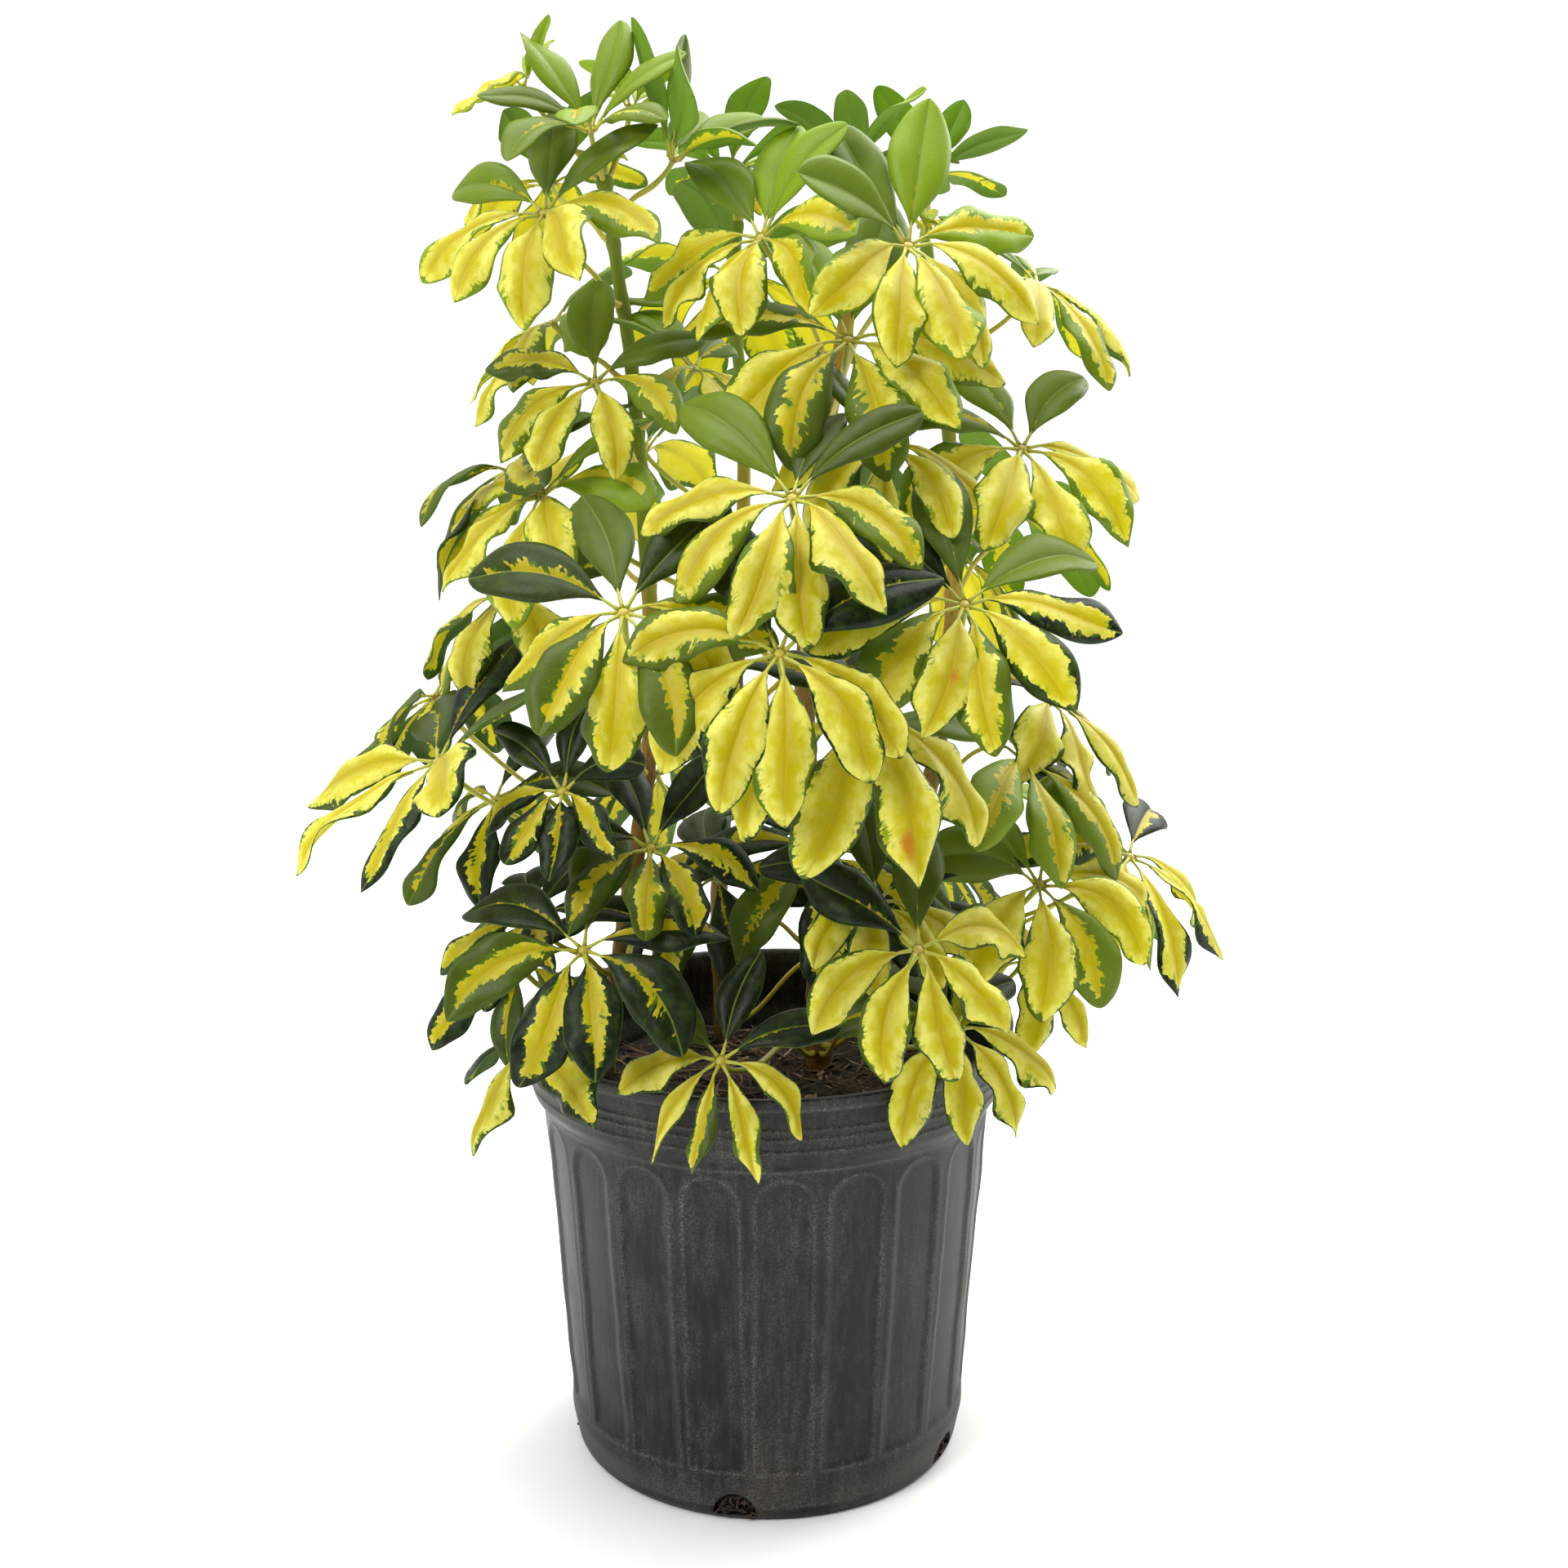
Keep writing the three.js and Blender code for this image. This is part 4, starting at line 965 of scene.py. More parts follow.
        values["under"] = np.repeat([0.0, 1.0], below)
        draft.add(np.concatenate([upper.reshape(-1, 3), lower.reshape(-1, 3)]), faces, LeafFinish.BLADE,
                  gold=self.gold, **values, **carried)
        return lengths


class CompoundLeaf:
    """One leaf of the umbrella plant: a petiole, its hub, and the leaflets round that on short stalks."""

    CARRIED = ("along", "across", "margin", "reach", "seed", "gold", "fresh", "under", "scorch", "warm",
               "knob")
    PETIOLE_RADIUS = 1.55 * MM
    FOOT_RADIUS = 2.05 * MM
    STALK_RADIUS = 1.05 * MM
    HUB_RADIUS = 3.1 * MM
    SUNK = 2.5 * MM  # how far the petiole's foot reaches into the stem
    STALK_ENDS = 0.24  # of the leaflet's length, where the stalk has tapered out under the blade
    YOUNG_STALK = 0.7  # of the usual radius
    YOUNG_BREADTH = 1.25  # of a blade's usual width
    HANGS = -0.4  # the rise under which a leaflet hangs enough to roll up
    GREENER = 0.36  # how much of its yellow the greenest of a few odd leaflets lacks
    ODD = 3.5  # how rare those are
    LIME = 0.65  # how much lighter the green of the lime leaves is
    SPREAD = 0.34  # how far the green of two leaflets may lie to either side of their leaf's
    SEEDS = 7000  # where the seeds of the leaves' draws start
    LONG_SPOT = 2.2  # how much longer than wide a dry spot is

    def __init__(self, number: int) -> None:
        """Reads the leaf and draws how its leaflets differ.

        Args:
            number: which leaf it is, as its node counts.
        """
        self.number = number
        self.node = f"leaf_{number:02d}"
        self.skeleton = LeafSkeleton(self.node)
        self.young = number in YOUNG_LEAVES
        self.tone = next((tone for tone, numbers in TONES.items() if number in numbers), Tone.MIXED)
        self.rng = np.random.default_rng(self.SEEDS + number)

    def gold(self, line: LeafletLine) -> float:
        """How yellow a leaflet is: most where it hangs, least where it stands, and now and then much less.

        Args:
            line: where the leaflet runs.

        Returns:
            the share from 0 to 1.
        """
        hanging, standing = self.tone.value
        share = hanging + (standing - hanging) * smoothstep(np.array(line.rise), -0.2, 0.45)
        return float(np.clip(share - self.GREENER * self.rng.uniform() ** self.ODD, 0.02, 0.98))

    def fresh(self) -> float:
        """How light a leaflet's green is: lightest near the top and behind, partly the young leaves' real
        tone and partly painted backlight.

        Returns:
            the share from 0 for the darkest green to 1.
        """
        height, depth = self.skeleton.hub[2], self.skeleton.hub[1]
        # Partly painted backlight: the leaves near the top and behind are made lighter, as if lit through
        # from the white walls; the rest is the young leaves' real tone.
        age = 0.8 * smoothstep(height, 0.38, 0.72) + 0.35 * smoothstep(depth, -0.02, 0.14)
        lime = self.LIME if self.number in LIME_LEAVES else 0.0
        return float(np.clip(age + lime + self.rng.uniform(-self.SPREAD, self.SPREAD), 0, 1))

    def add_petiole(self, draft: Draft) -> None:
        """Adds the petiole, from inside the stem to inside the hub, with its swollen foot and neck.

        Args:
            draft: the leaf that it is part of.
        """
        skeleton = self.skeleton
        inside = skeleton.petiole[-1] + skeleton.foot_aim * self.SUNK
        knots = np.array([skeleton.hub, *skeleton.petiole, inside])
        share = np.concatenate([[0], np.cumsum(np.linalg.norm(np.diff(knots, axis=0), axis=1))])
        share /= share[-1]
        at = np.linspace(0, 1, 26)
        path = through(share, knots, at)
        radii = self.PETIOLE_RADIUS * (1 + 0.1 * np.sin(9 * at + self.number))
        radii += (self.FOOT_RADIUS - self.PETIOLE_RADIUS) * smoothstep(at, 0.78, 1.0)
        radii += 0.5 * MM * smoothstep(at, 0.1, 0.0)
        warm = 0.15 + 0.65 * at
        knob = 0.75 * smoothstep(at, 0.93, 1.0) + 0.55 * smoothstep(at, 0.035, 0.0)
        draft.tube(path, radii, 8, finish=LeafFinish.STALK, warm=warm, knob=knob, seed=self.number / 60)

    def add_hub(self, draft: Draft) -> None:
        """Adds the small knob that the stalks spread from.

        Args:
            draft: the leaf that it is part of.
        """
        turns = np.linspace(0, math.pi, 7)
        path = self.skeleton.hub + np.outer(-np.cos(turns) * 1.9 * MM - 0.3 * MM, self.skeleton.axis)
        radii = np.sin(turns) * self.HUB_RADIUS + 0.05 * MM
        knob = 0.35 + 0.45 * smoothstep(turns, 1.9, 0.6)
        draft.tube(path, radii, 10, up=(0.3, 1, 0.1), finish=LeafFinish.STALK, warm=0.6, knob=knob)

    def add_stalk(self, draft: Draft, line: LeafletLine) -> None:
        """Adds a leaflet's short stalk, which tapers out as the rib under the blade.

        Args:
            draft: the leaf that it is part of.
            line: where the leaflet runs.
        """
        share = np.linspace(0.0, self.STALK_ENDS, 8)
        path = through(line.SHARES, line.middle, share)
        up = np.cross(unit(line.middle[2] - line.middle[1]), line.right[2])
        path = path - up * 0.5 * MM * smoothstep(share, 0.1, 0.2)[:, None]
        radii = self.STALK_RADIUS * np.interp(share, [0, 0.03, 0.1, self.STALK_ENDS], [1.35, 1.0, 0.85, 0.4])
        if self.young:
            radii *= self.YOUNG_STALK
        warm, knob = 0.35 - 0.25 * share / self.STALK_ENDS, 0.35 * smoothstep(share, 0.03, 0.0)
        draft.tube(path, radii, 8, flat=0.9, up=up, finish=LeafFinish.STALK, warm=warm, knob=knob,
                   seed=self.number / 60)

    def build(self, blade: bpy.types.Material, stalk: bpy.types.Material) -> bpy.types.Object:
        """Builds the leaf in its place.

        Args:
            blade: the leaflets' material.
            stalk: the petiole's material.

        Returns:
            The piece that stands for the leaf's node.
        """
        draft = Draft(f"compound_leaf_{self.number:02d}", self.CARRIED)
        self.add_petiole(draft)
        self.add_hub(draft)
        for k, line in enumerate(self.skeleton.leaflets):
            self.add_stalk(draft, line)
            rolled = self.number in ROLLED_LEAVES and line.rise < self.HANGS
            form = BladeForm(self.gold(line), self.rng, rolled, self.YOUNG_BREADTH if self.young else 1.0)
            form.add_to(draft, line, seed=float(self.rng.uniform(0, 1)), fresh=self.fresh())
            self.add_scorch(draft, k)
        slot = "young_leaf" if self.young else "variegated_leaf"
        return settle(draft.build([blade, stalk]), slot, self.node)

    def add_scorch(self, draft: Draft, leaflet: int) -> None:
        """Marks a dry spot on the blade added last, where the list has one.

        Args:
            draft: the leaf that it is part of.
            leaflet: which of its leaflets that blade is.
        """
        for number, which, share, side, radius in SCORCHES:
            if (number, which) != (self.number, leaflet):
                continue
            along, across = draft.values["along"][-1], draft.values["across"][-1]
            off = np.hypot((along - share * along.max()) / self.LONG_SPOT, across - side * across.max())
            draft.values["scorch"][-1] = np.exp(-(off / radius) ** 2)


# ---------------------------------------------------------------- stems
@dataclass
class WoodyStem:
    """A stem with its bark, swollen where leaves leave it and ringed where old ones fell.

    Args:
        name: which stem it is.
        scars: the places where petioles leave it.
        brown_below: the height under which its bark is brown.
        green_above: the height over which it is green.
    """

    name: str
    scars: list[np.ndarray]
    brown_below: float
    green_above: float
    SIDES = 20
    STEP = 2.4 * MM
    RINGS = 19 * MM  # between the scars of fallen leaves
    SWELL = (0.7 * MM, 3.5 * MM)  # how far a leaf's foot swells the stem, and over what length
    RING = (0.32 * MM, 0.9 * MM)  # the same of a ring
    FINE, COARSE = (0.22 * MM, 2.6 * MM), (0.3 * MM, 14 * MM)  # the bark's roughness: height and size
    TIP = (0.96, 0.86, 0.66, 0.3)  # how the last rings close, as shares of the radius

    def rings(self) -> tuple[np.ndarray, np.ndarray]:
        """Reads each ring of the solid, from its foot to its tip.

        Returns:
            the middles, one a row, and the radii.
        """
        graph = SolidGraph(f"stem_{self.name}")
        low = graph.points[:, 2].min()
        lowest = np.flatnonzero(graph.points[:, 2] < low + 1e-5)
        foot = min(lowest, key=lambda k: np.linalg.norm(graph.points[k] - graph.middle(lowest)))
        layers = [ring for ring in graph.layers([foot], 99) if len(ring) > 1]
        middles = np.array([graph.middle(ring) for ring in layers])
        radii = [np.linalg.norm(graph.points[ring] - middle, axis=1).mean()
                 for ring, middle in zip(layers, middles)]
        return middles, np.array(radii)

    def build(self, bark: bpy.types.Material) -> bpy.types.Object:
        """Builds the stem in its place.

        Args:
            bark: the stem's material.

        Returns:
            the piece that stands for the stem's node.
        """
        middles, radii = self.rings()
        way = np.concatenate([[0], np.cumsum(np.linalg.norm(np.diff(middles, axis=0), axis=1))])
        at = np.linspace(0, way[-1], int(way[-1] / self.STEP))
        path = through(way, middles, at)
        radius = np.interp(at, way, radii)
        draw = np.random.default_rng(sum(map(ord, self.name)))
        for scar in self.scars:
            below = path[:, 2] - scar[2] + 2 * MM
            radius = radius + self.SWELL[0] * np.exp(-(below / self.SWELL[1]) ** 2)
        heights = np.arange(path[0, 2], path[-1, 2], self.RINGS)
        for height in heights + draw.uniform(-6, 6, len(heights)) * MM:
            radius = radius + self.RING[0] * np.exp(-((path[:, 2] - height) / self.RING[1]) ** 2)
        radius[-len(self.TIP):] *= np.array(self.TIP)
        draft = Draft(f"woody_stem_{self.name}", ("age",))
        age = 1 - smoothstep(path[:, 2], self.brown_below, self.green_above)
        draft.tube(path, radius, self.SIDES, up=(0, 1, 0), age=age)
        points = draft.points[0]
        middle = np.repeat(path, self.SIDES, axis=0)
        outward = unit(points - middle)
        grain = points * np.array([1, 1, 0.14])  # drawn out lengthwise
        rough = (self.FINE[0] * ripples(grain, self.FINE[1], 5, 14)
                 + self.COARSE[0] * ripples(points, self.COARSE[1], 8))
        draft.points[0] = points + outward * (rough * (0.35 + 0.65 * np.repeat(age, self.SIDES)))[:, None]
        return settle(draft.build([bark]), "woody_stem", f"stem_{self.name}")


@dataclass
class ShootTip:
    """The growing tip of a stem: a bud with crumpled leaflets round it that are just unfolding.

    Args:
        stem: which stem it ends.
        place: where that stem ends.
        count: how many leaflets it has.
        seed: the seed of its draws.
    """

    stem: str
    place: np.ndarray
    count: int
    seed: int
    TURN = 2.4  # radians from one leaflet to the next
    LENGTHS = (14, 27)  # millimetres
    BUD = (3.0, 3.2, 3.2, 2.9, 2.4, 1.8, 1.1, 0.3)  # its radii from foot to tip, in millimetres

    def build(self, blade: bpy.types.Material, stalk: bpy.types.Material) -> bpy.types.Object:
        """Builds the tip on its stem.

        Args:
            blade: the leaflets' material.
            stalk: the bud's and stalks' material.

        Returns:
            the tip, which stands for no node.
        """
        draft = Draft(f"shoot_tip_{self.stem}", CompoundLeaf.CARRIED)
        rng = np.random.default_rng(self.seed)
        bud = self.place + np.outer(np.linspace(-4, 9, 8) * MM, (0, 0, 1))
        draft.tube(bud, np.array(self.BUD) * MM, 8, up=(0, 1, 0), finish=LeafFinish.STALK, warm=0.2, knob=0.2)
        for k in range(self.count):
            turn = self.TURN * k + rng.uniform(-0.3, 0.3)
            out = np.array([math.sin(turn), -math.cos(turn), 0])
            rise = rng.uniform(0.9, 1.8)
            length = rng.uniform(*self.LENGTHS) * MM
            ahead = unit(out + np.array([0, 0, rise]))
            steps = np.array(LeafletLine.SHARES)[:, None]
            curl = rng.uniform(0.1, 0.9) * length
            middle = (self.place + np.array([0, 0, 1.5 * MM]) + ahead * steps * length
                      + (out * 0.6 - np.array([0, 0, 1])) * curl * steps ** 3)
            right = np.tile(unit(np.cross(out, (0, 0, 1))), (len(steps), 1)) * -1
            line = LeafletLine(middle, right)
            share = np.linspace(0, 0.3, 5)
            draft.tube(through(line.SHARES, middle, share), np.linspace(0.9, 0.35, 5) * MM, 6, up=out,
                       finish=LeafFinish.STALK, warm=0.3)
            form = BladeForm(float(rng.uniform(0.45, 0.95)), rng)
            form.add_to(draft, line, seed=float(rng.uniform(0, 1)), fresh=float(rng.uniform(0.3, 1)),
                        scorch=float(rng.uniform(0.0, 0.45)))
        return settle(draft.build([blade, stalk]), "young_leaf")


# ---------------------------------------------------------------- the pot and what fills it
@dataclass(frozen=True)
class NurseryPot:
    """The moulded pot: arched panels round its wall, a ringed band under its lip and drains along its foot.

    Sizes are millimetres, as in the solid.
    """

    height: float = 250.0
    wall: float = 2.6
    wall_foot: tuple[float, float] = (114.4, 27.0)  # radius and height
    wall_top: tuple[float, float] = (127.0, 205.0)
    band_foot: tuple[float, float] = (134.0, 214.0)
    band_top: tuple[float, float] = (136.5, 242.0)
    lip: float = 141.0
    panels: int = 20
    first_panel: float = 4.8  # degrees from the front
    panel_half: float = 15.0
    panel_foot: float = 30.0
    panel_top: float = 201.0
    panel_depth: float = 1.5
    panel_bevel: float = 3.6
    ridge: float = 0.35  # how far the edge round a panel stands out
    ring: float = 0.7  # the same of a ring on the band
    line: float = 0.45  # and of the fine line under it
    band_rings: tuple[float, ...] = (219.5, 226.5, 231.5)
    foot_line: float = 206.5  # the fine raised line under the band
    drains: int = 5
    first_drain: float = -8.5
    drain_half: float = 12.0
    drain_foot: float = 3.5
    drain_height: float = 14.0
    columns: int = 480
    tear: float = -128.0  # the bearing of the torn stretch of the lip
    tear_half: float = 11.0  # and how many degrees it reaches to each side
    buckle: tuple[float, float] = (-46.0, 44.0)  # the bearing and height of a knock in the wall
    buckle_half: tuple[float, float] = (9.0, 12.0)  # its reach in degrees and upward
    wall_swell: float = 0.7  # how uneven the wall is over its height,
    wall_ripple: float = 0.35  # and over a short way
    panelled: tuple[float, float] = (26.0, 206.0)  # the heights between which the wall has its panels

    def outside(self) -> list[tuple[float, float, float]]:
        """The outside from the middle of the underside to the lip.

        Returns:
            each corner's radius, height and rounding.
        """
        return [(0, 0, 0), (109, 0, 3), (111.6, 3, 2), (113.4, 12, 3), (115.2, 22, 3), (*self.wall_foot, 3),
                (*self.wall_top, 3), (*self.band_foot, 3), (*self.band_top, 0.8),
                (self.lip - 1.6, self.height - 7.2, 1.4), (self.lip - 0.2, self.height - 3, 1.6),
                (self.lip, self.height, 1.2)]

    def inside(self) -> list[tuple[float, float, float]]:
        """The inside from the lip down to the middle of the floor.

        Returns:
            each corner's radius, height and rounding.
        """
        foot, top, band = self.wall_foot, self.wall_top, self.band_foot
        return [(self.lip - 4, self.height, 1.2), (self.band_top[0] - self.wall, self.height - 8, 2),
                (band[0] - self.wall, band[1] + 2, 2), (top[0] - self.wall, top[1], 3),
                (foot[0] - self.wall, foot[1], 3), (110.2, 9, 4), (106.4, 3, 2), (0, 3, 0)]

    @staticmethod
    def rounded(corners: list[tuple[float, float, float]], longest: float) -> np.ndarray:
        """A line through corners, each rounded, with no stretch longer than a length.

        Args:
            corners: their radius, height and rounding.
            longest: how long a stretch may be.

        Returns:
            the radius and height of each point of the line.
        """
        places = np.array([(radius, height) for radius, height, _ in corners], float)
        line = [places[0]]
        for k in range(1, len(corners) - 1):
            before, corner, after = places[k - 1:k + 2]
            ways = [before - corner, after - corner]
            cut = min(corners[k][2], *(0.45 * np.linalg.norm(way) for way in ways))
            start, end = [corner + unit(way) * cut for way in ways]
            for t in (0, 1 / 3, 2 / 3, 1):
                line.append((1 - t) ** 2 * start + 2 * t * (1 - t) * corner + t * t * end)
        line = np.array([*line, places[-1]])
        stretched = [line[0]]
        for start, end in zip(line, line[1:]):
            pieces = max(1, math.ceil(np.linalg.norm(end - start) / longest))
            stretched += [start + (end - start) * (j + 1) / pieces for j in range(pieces)]
        return np.array(stretched)

    def panel_edge(self, bearing: np.ndarray, radius: np.ndarray, height: np.ndarray) -> np.ndarray:
        """How far inside the nearest panel's outline each point of the wall lies.

        Args:
            bearing: the points' bearings, in degrees from the front.
            radius: how far they are from the axis.
            height: how high they are.

        Returns:
            the distances, below 0 outside the outline.
        """
        pitch = 360 / self.panels
        turn = (bearing - self.first_panel + pitch / 2) % pitch - pitch / 2
        across = np.abs(np.radians(turn) * radius)
        centre = self.panel_top - self.panel_half
        arch = self.panel_half - np.hypot(across, height - centre)
        straight = np.minimum(self.panel_half - across, (height - self.panel_foot) * 0.8)
        return np.where(height > centre, arch, straight)

    def dented(self, points: np.ndarray) -> np.ndarray:
        """The plain turned wall with its panels, rings, dents and the torn lip pressed in.

        Args:
            points: the points of the plain turned pot.

        Returns:
            where each of them goes.
        """
        radius, height = np.hypot(points[:, 0], points[:, 1]), points[:, 2]
        bearing = np.degrees(np.arctan2(points[:, 0], -points[:, 1]))
        edge = self.panel_edge(bearing, radius, height)
        low, high = self.panelled
        on_wall = smoothstep(radius, 100, 108) * (height > low) * (height < high)
        outer = self.is_outer(radius, height)
        recess = self.panel_depth * smoothstep(edge, -0.4, self.panel_bevel)
        ridge = self.ridge * np.exp(-((edge + 1.2) / 1.1) ** 2)
        change = on_wall * (ridge * outer - recess)
        for ring in self.band_rings:
            change = change + self.ring * outer * np.exp(-((height - ring) / 1.0) ** 2)
        change = change + self.line * outer * np.exp(-((height - self.foot_line) / 0.8) ** 2)
        around = np.stack([np.sin(np.radians(bearing)), np.cos(np.radians(bearing)), height / 130], axis=1)
        change = change + self.wall_swell * ripples(around, 1.1, 3) * smoothstep(height, 4, 60)
        change = change + self.wall_ripple * ripples(around, 0.28, 4) * smoothstep(height, 4, 40)
        # The knock pushes the wall in and raises a fold under it.
        turn = (bearing - self.buckle[0]) / self.buckle_half[0]
        rise = (height - self.buckle[1]) / self.buckle_half[1]
        change = change - 1.6 * np.exp(-turn ** 2 - rise ** 2) + 1.1 * np.exp(-turn ** 2 - (rise + 1.6) ** 2)
        # The torn lip stands out raggedly and has sunk, and the whole rim is a little out of true.
        off = (bearing - self.tear + 180) % 360 - 180
        torn = np.exp(-(off / self.tear_half) ** 2) * smoothstep(height, self.height - 9, self.height - 1)
        ragged = ripples(np.stack([bearing, bearing * 0], axis=1), 4.0, 6, 12)
        factor = np.where(radius > 1, (radius + change + torn * (1.2 + ragged)) / np.maximum(radius, 1), 1)
        warp = 0.5 * np.sin(np.radians(2 * bearing + 40)) * smoothstep(height, 190, 250)
        sag = torn * (1.6 + 1.6 * ragged) + warp
        return np.column_stack([points[:, 0] * factor, points[:, 1] * factor, height - sag])

    def is_outer(self, radius: np.ndarray, height: np.ndarray) -> np.ndarray:
        """1 on the outside of the wall and the band, and 0 on the inside.

        Args:
            radius: how far the points are from the axis.
            height: how high they are.

        Returns:
            1 or 0 for each point.
        """
        lip = (self.lip, self.height)
        profile = np.array([self.wall_foot, self.wall_top, self.band_foot, self.band_top, lip])
        middle = np.interp(height, profile[:, 1], profile[:, 0]) - self.wall / 2 - 0.6
        return (radius > middle).astype(float)

    def is_outside(self, profile: np.ndarray) -> np.ndarray:
        """True for the points of a profile that lie on the outside."""
        return self.is_outer(profile[:, 0], profile[:, 1]) > 0

    def wear(self, points: np.ndarray) -> np.ndarray:
        """How worn and dusty each point is: along the panels' outlines, the rings, the lip and the foot.

        Args:
            points: the points of the finished pot.

        Returns:
            from 0 to 1 for each point.
        """
        radius, height = np.hypot(points[:, 0], points[:, 1]), points[:, 2]
        bearing = np.degrees(np.arctan2(points[:, 0], -points[:, 1]))
        edge = self.panel_edge(bearing, radius, height)
        worn = 0.75 * np.exp(-((edge + 0.6) / 1.0) ** 2) * (height > 27) * (height < 207)
        for ring in (*self.band_rings, self.foot_line, self.height - 6.5):
            worn = np.maximum(worn, 0.8 * np.exp(-((height - ring) / 1.0) ** 2))
        worn = np.maximum(worn, 0.2 * smoothstep(height, 213, 218) * smoothstep(height, 250, 220))
        worn = np.maximum(worn, 0.5 * smoothstep(height, 22, 6) + 0.25 * smoothstep(height, 45, 10))
        return worn * self.is_outer(radius, height)

    def drain_cutter(self, bearing: float) -> bpy.types.Object:
        """A solid that cuts one half-round drain through the foot.

        Args:
            bearing: where the drain is, in degrees from the front.

        Returns:
            the solid, which is removed after the cut.
        """
        turns = np.linspace(0, math.pi, 15)
        shape = [(self.drain_half * math.cos(turn), self.drain_foot + self.drain_height * math.sin(turn))
                 for turn in turns]
        ends = [np.array([(x, -distance, z) for x, z in shape]) for distance in (80.0, 135.0)]
        points = np.concatenate(ends) * MM
        turn = math.radians(bearing)
        spin = np.array([[math.cos(turn), -math.sin(turn), 0],
                         [math.sin(turn), math.cos(turn), 0],
                         [0, 0, 1]])
        draft = Draft("drain_cutter")
        draft.add(points @ spin.T, closed_rings(2, len(shape)))
        cutter = draft.build([], smooth=False)
        mesh = bmesh.new()
        mesh.from_mesh(cutter.data)
        bmesh.ops.recalc_face_normals(mesh, faces=mesh.faces)
        mesh.to_mesh(cutter.data)
        mesh.free()
        return cutter

    def build(self, plastic: bpy.types.Material) -> bpy.types.Object:
        """Builds the pot in its place.

        Args:
            plastic: the pot's material.

        Returns:
            the piece that stands for the pot's node.
        """
        profile = np.concatenate([self.rounded(self.outside(), 0.9), self.rounded(self.inside(), 6.0)])
        # The straight part of the wall and the underside need fewer rings than the rest.
        wall = (profile[:, 1] > 34) & (profile[:, 1] < 184) & (np.arange(len(profile)) % 3 > 0)
        underside = (profile[:, 0] < 100) & (np.arange(len(profile)) % 6 > 0)
        profile = profile[(profile[:, 0] > 0.5) & ~(wall & self.is_outside(profile)) & ~underside]
        turns = np.arange(self.columns) * 2 * math.pi / self.columns
        around = np.stack([np.sin(turns), -np.cos(turns)], axis=1)
        rings = np.concatenate([profile[:, None, :1] * around[None],
                                np.repeat(profile[:, None, 1:], self.columns, axis=1)], axis=2)
        draft = Draft("nursery_pot_shell")
        draft.add(self.dented(rings.reshape(-1, 3)) * MM, closed_rings(len(profile), self.columns))
        pot = draft.build([plastic])
        cutters = [self.drain_cutter(self.first_drain + 360 * k / self.drains) for k in range(self.drains)]
        for cutter in cutters:
            cut = pot.modifiers.new("drain", "BOOLEAN")
            cut.operation, cut.solver, cut.object = "DIFFERENCE", "EXACT", cutter
        cut_mesh = bpy.data.meshes.new_from_object(pot.evaluated_get(bpy.context.evaluated_depsgraph_get()))
        pot.modifiers.clear()
        pot.data = cut_mesh
        for cutter in cutters:
            bpy.data.objects.remove(cutter)
        places = np.empty(len(cut_mesh.vertices) * 3)
        cut_mesh.vertices.foreach_get("co", places)
        worn = self.wear(places.reshape(-1, 3) / MM)
        cut_mesh.attributes.new("wear", "FLOAT", "POINT").data.foreach_set("value", worn)
        return settle(pot, "moulded_pot", "nursery_pot")


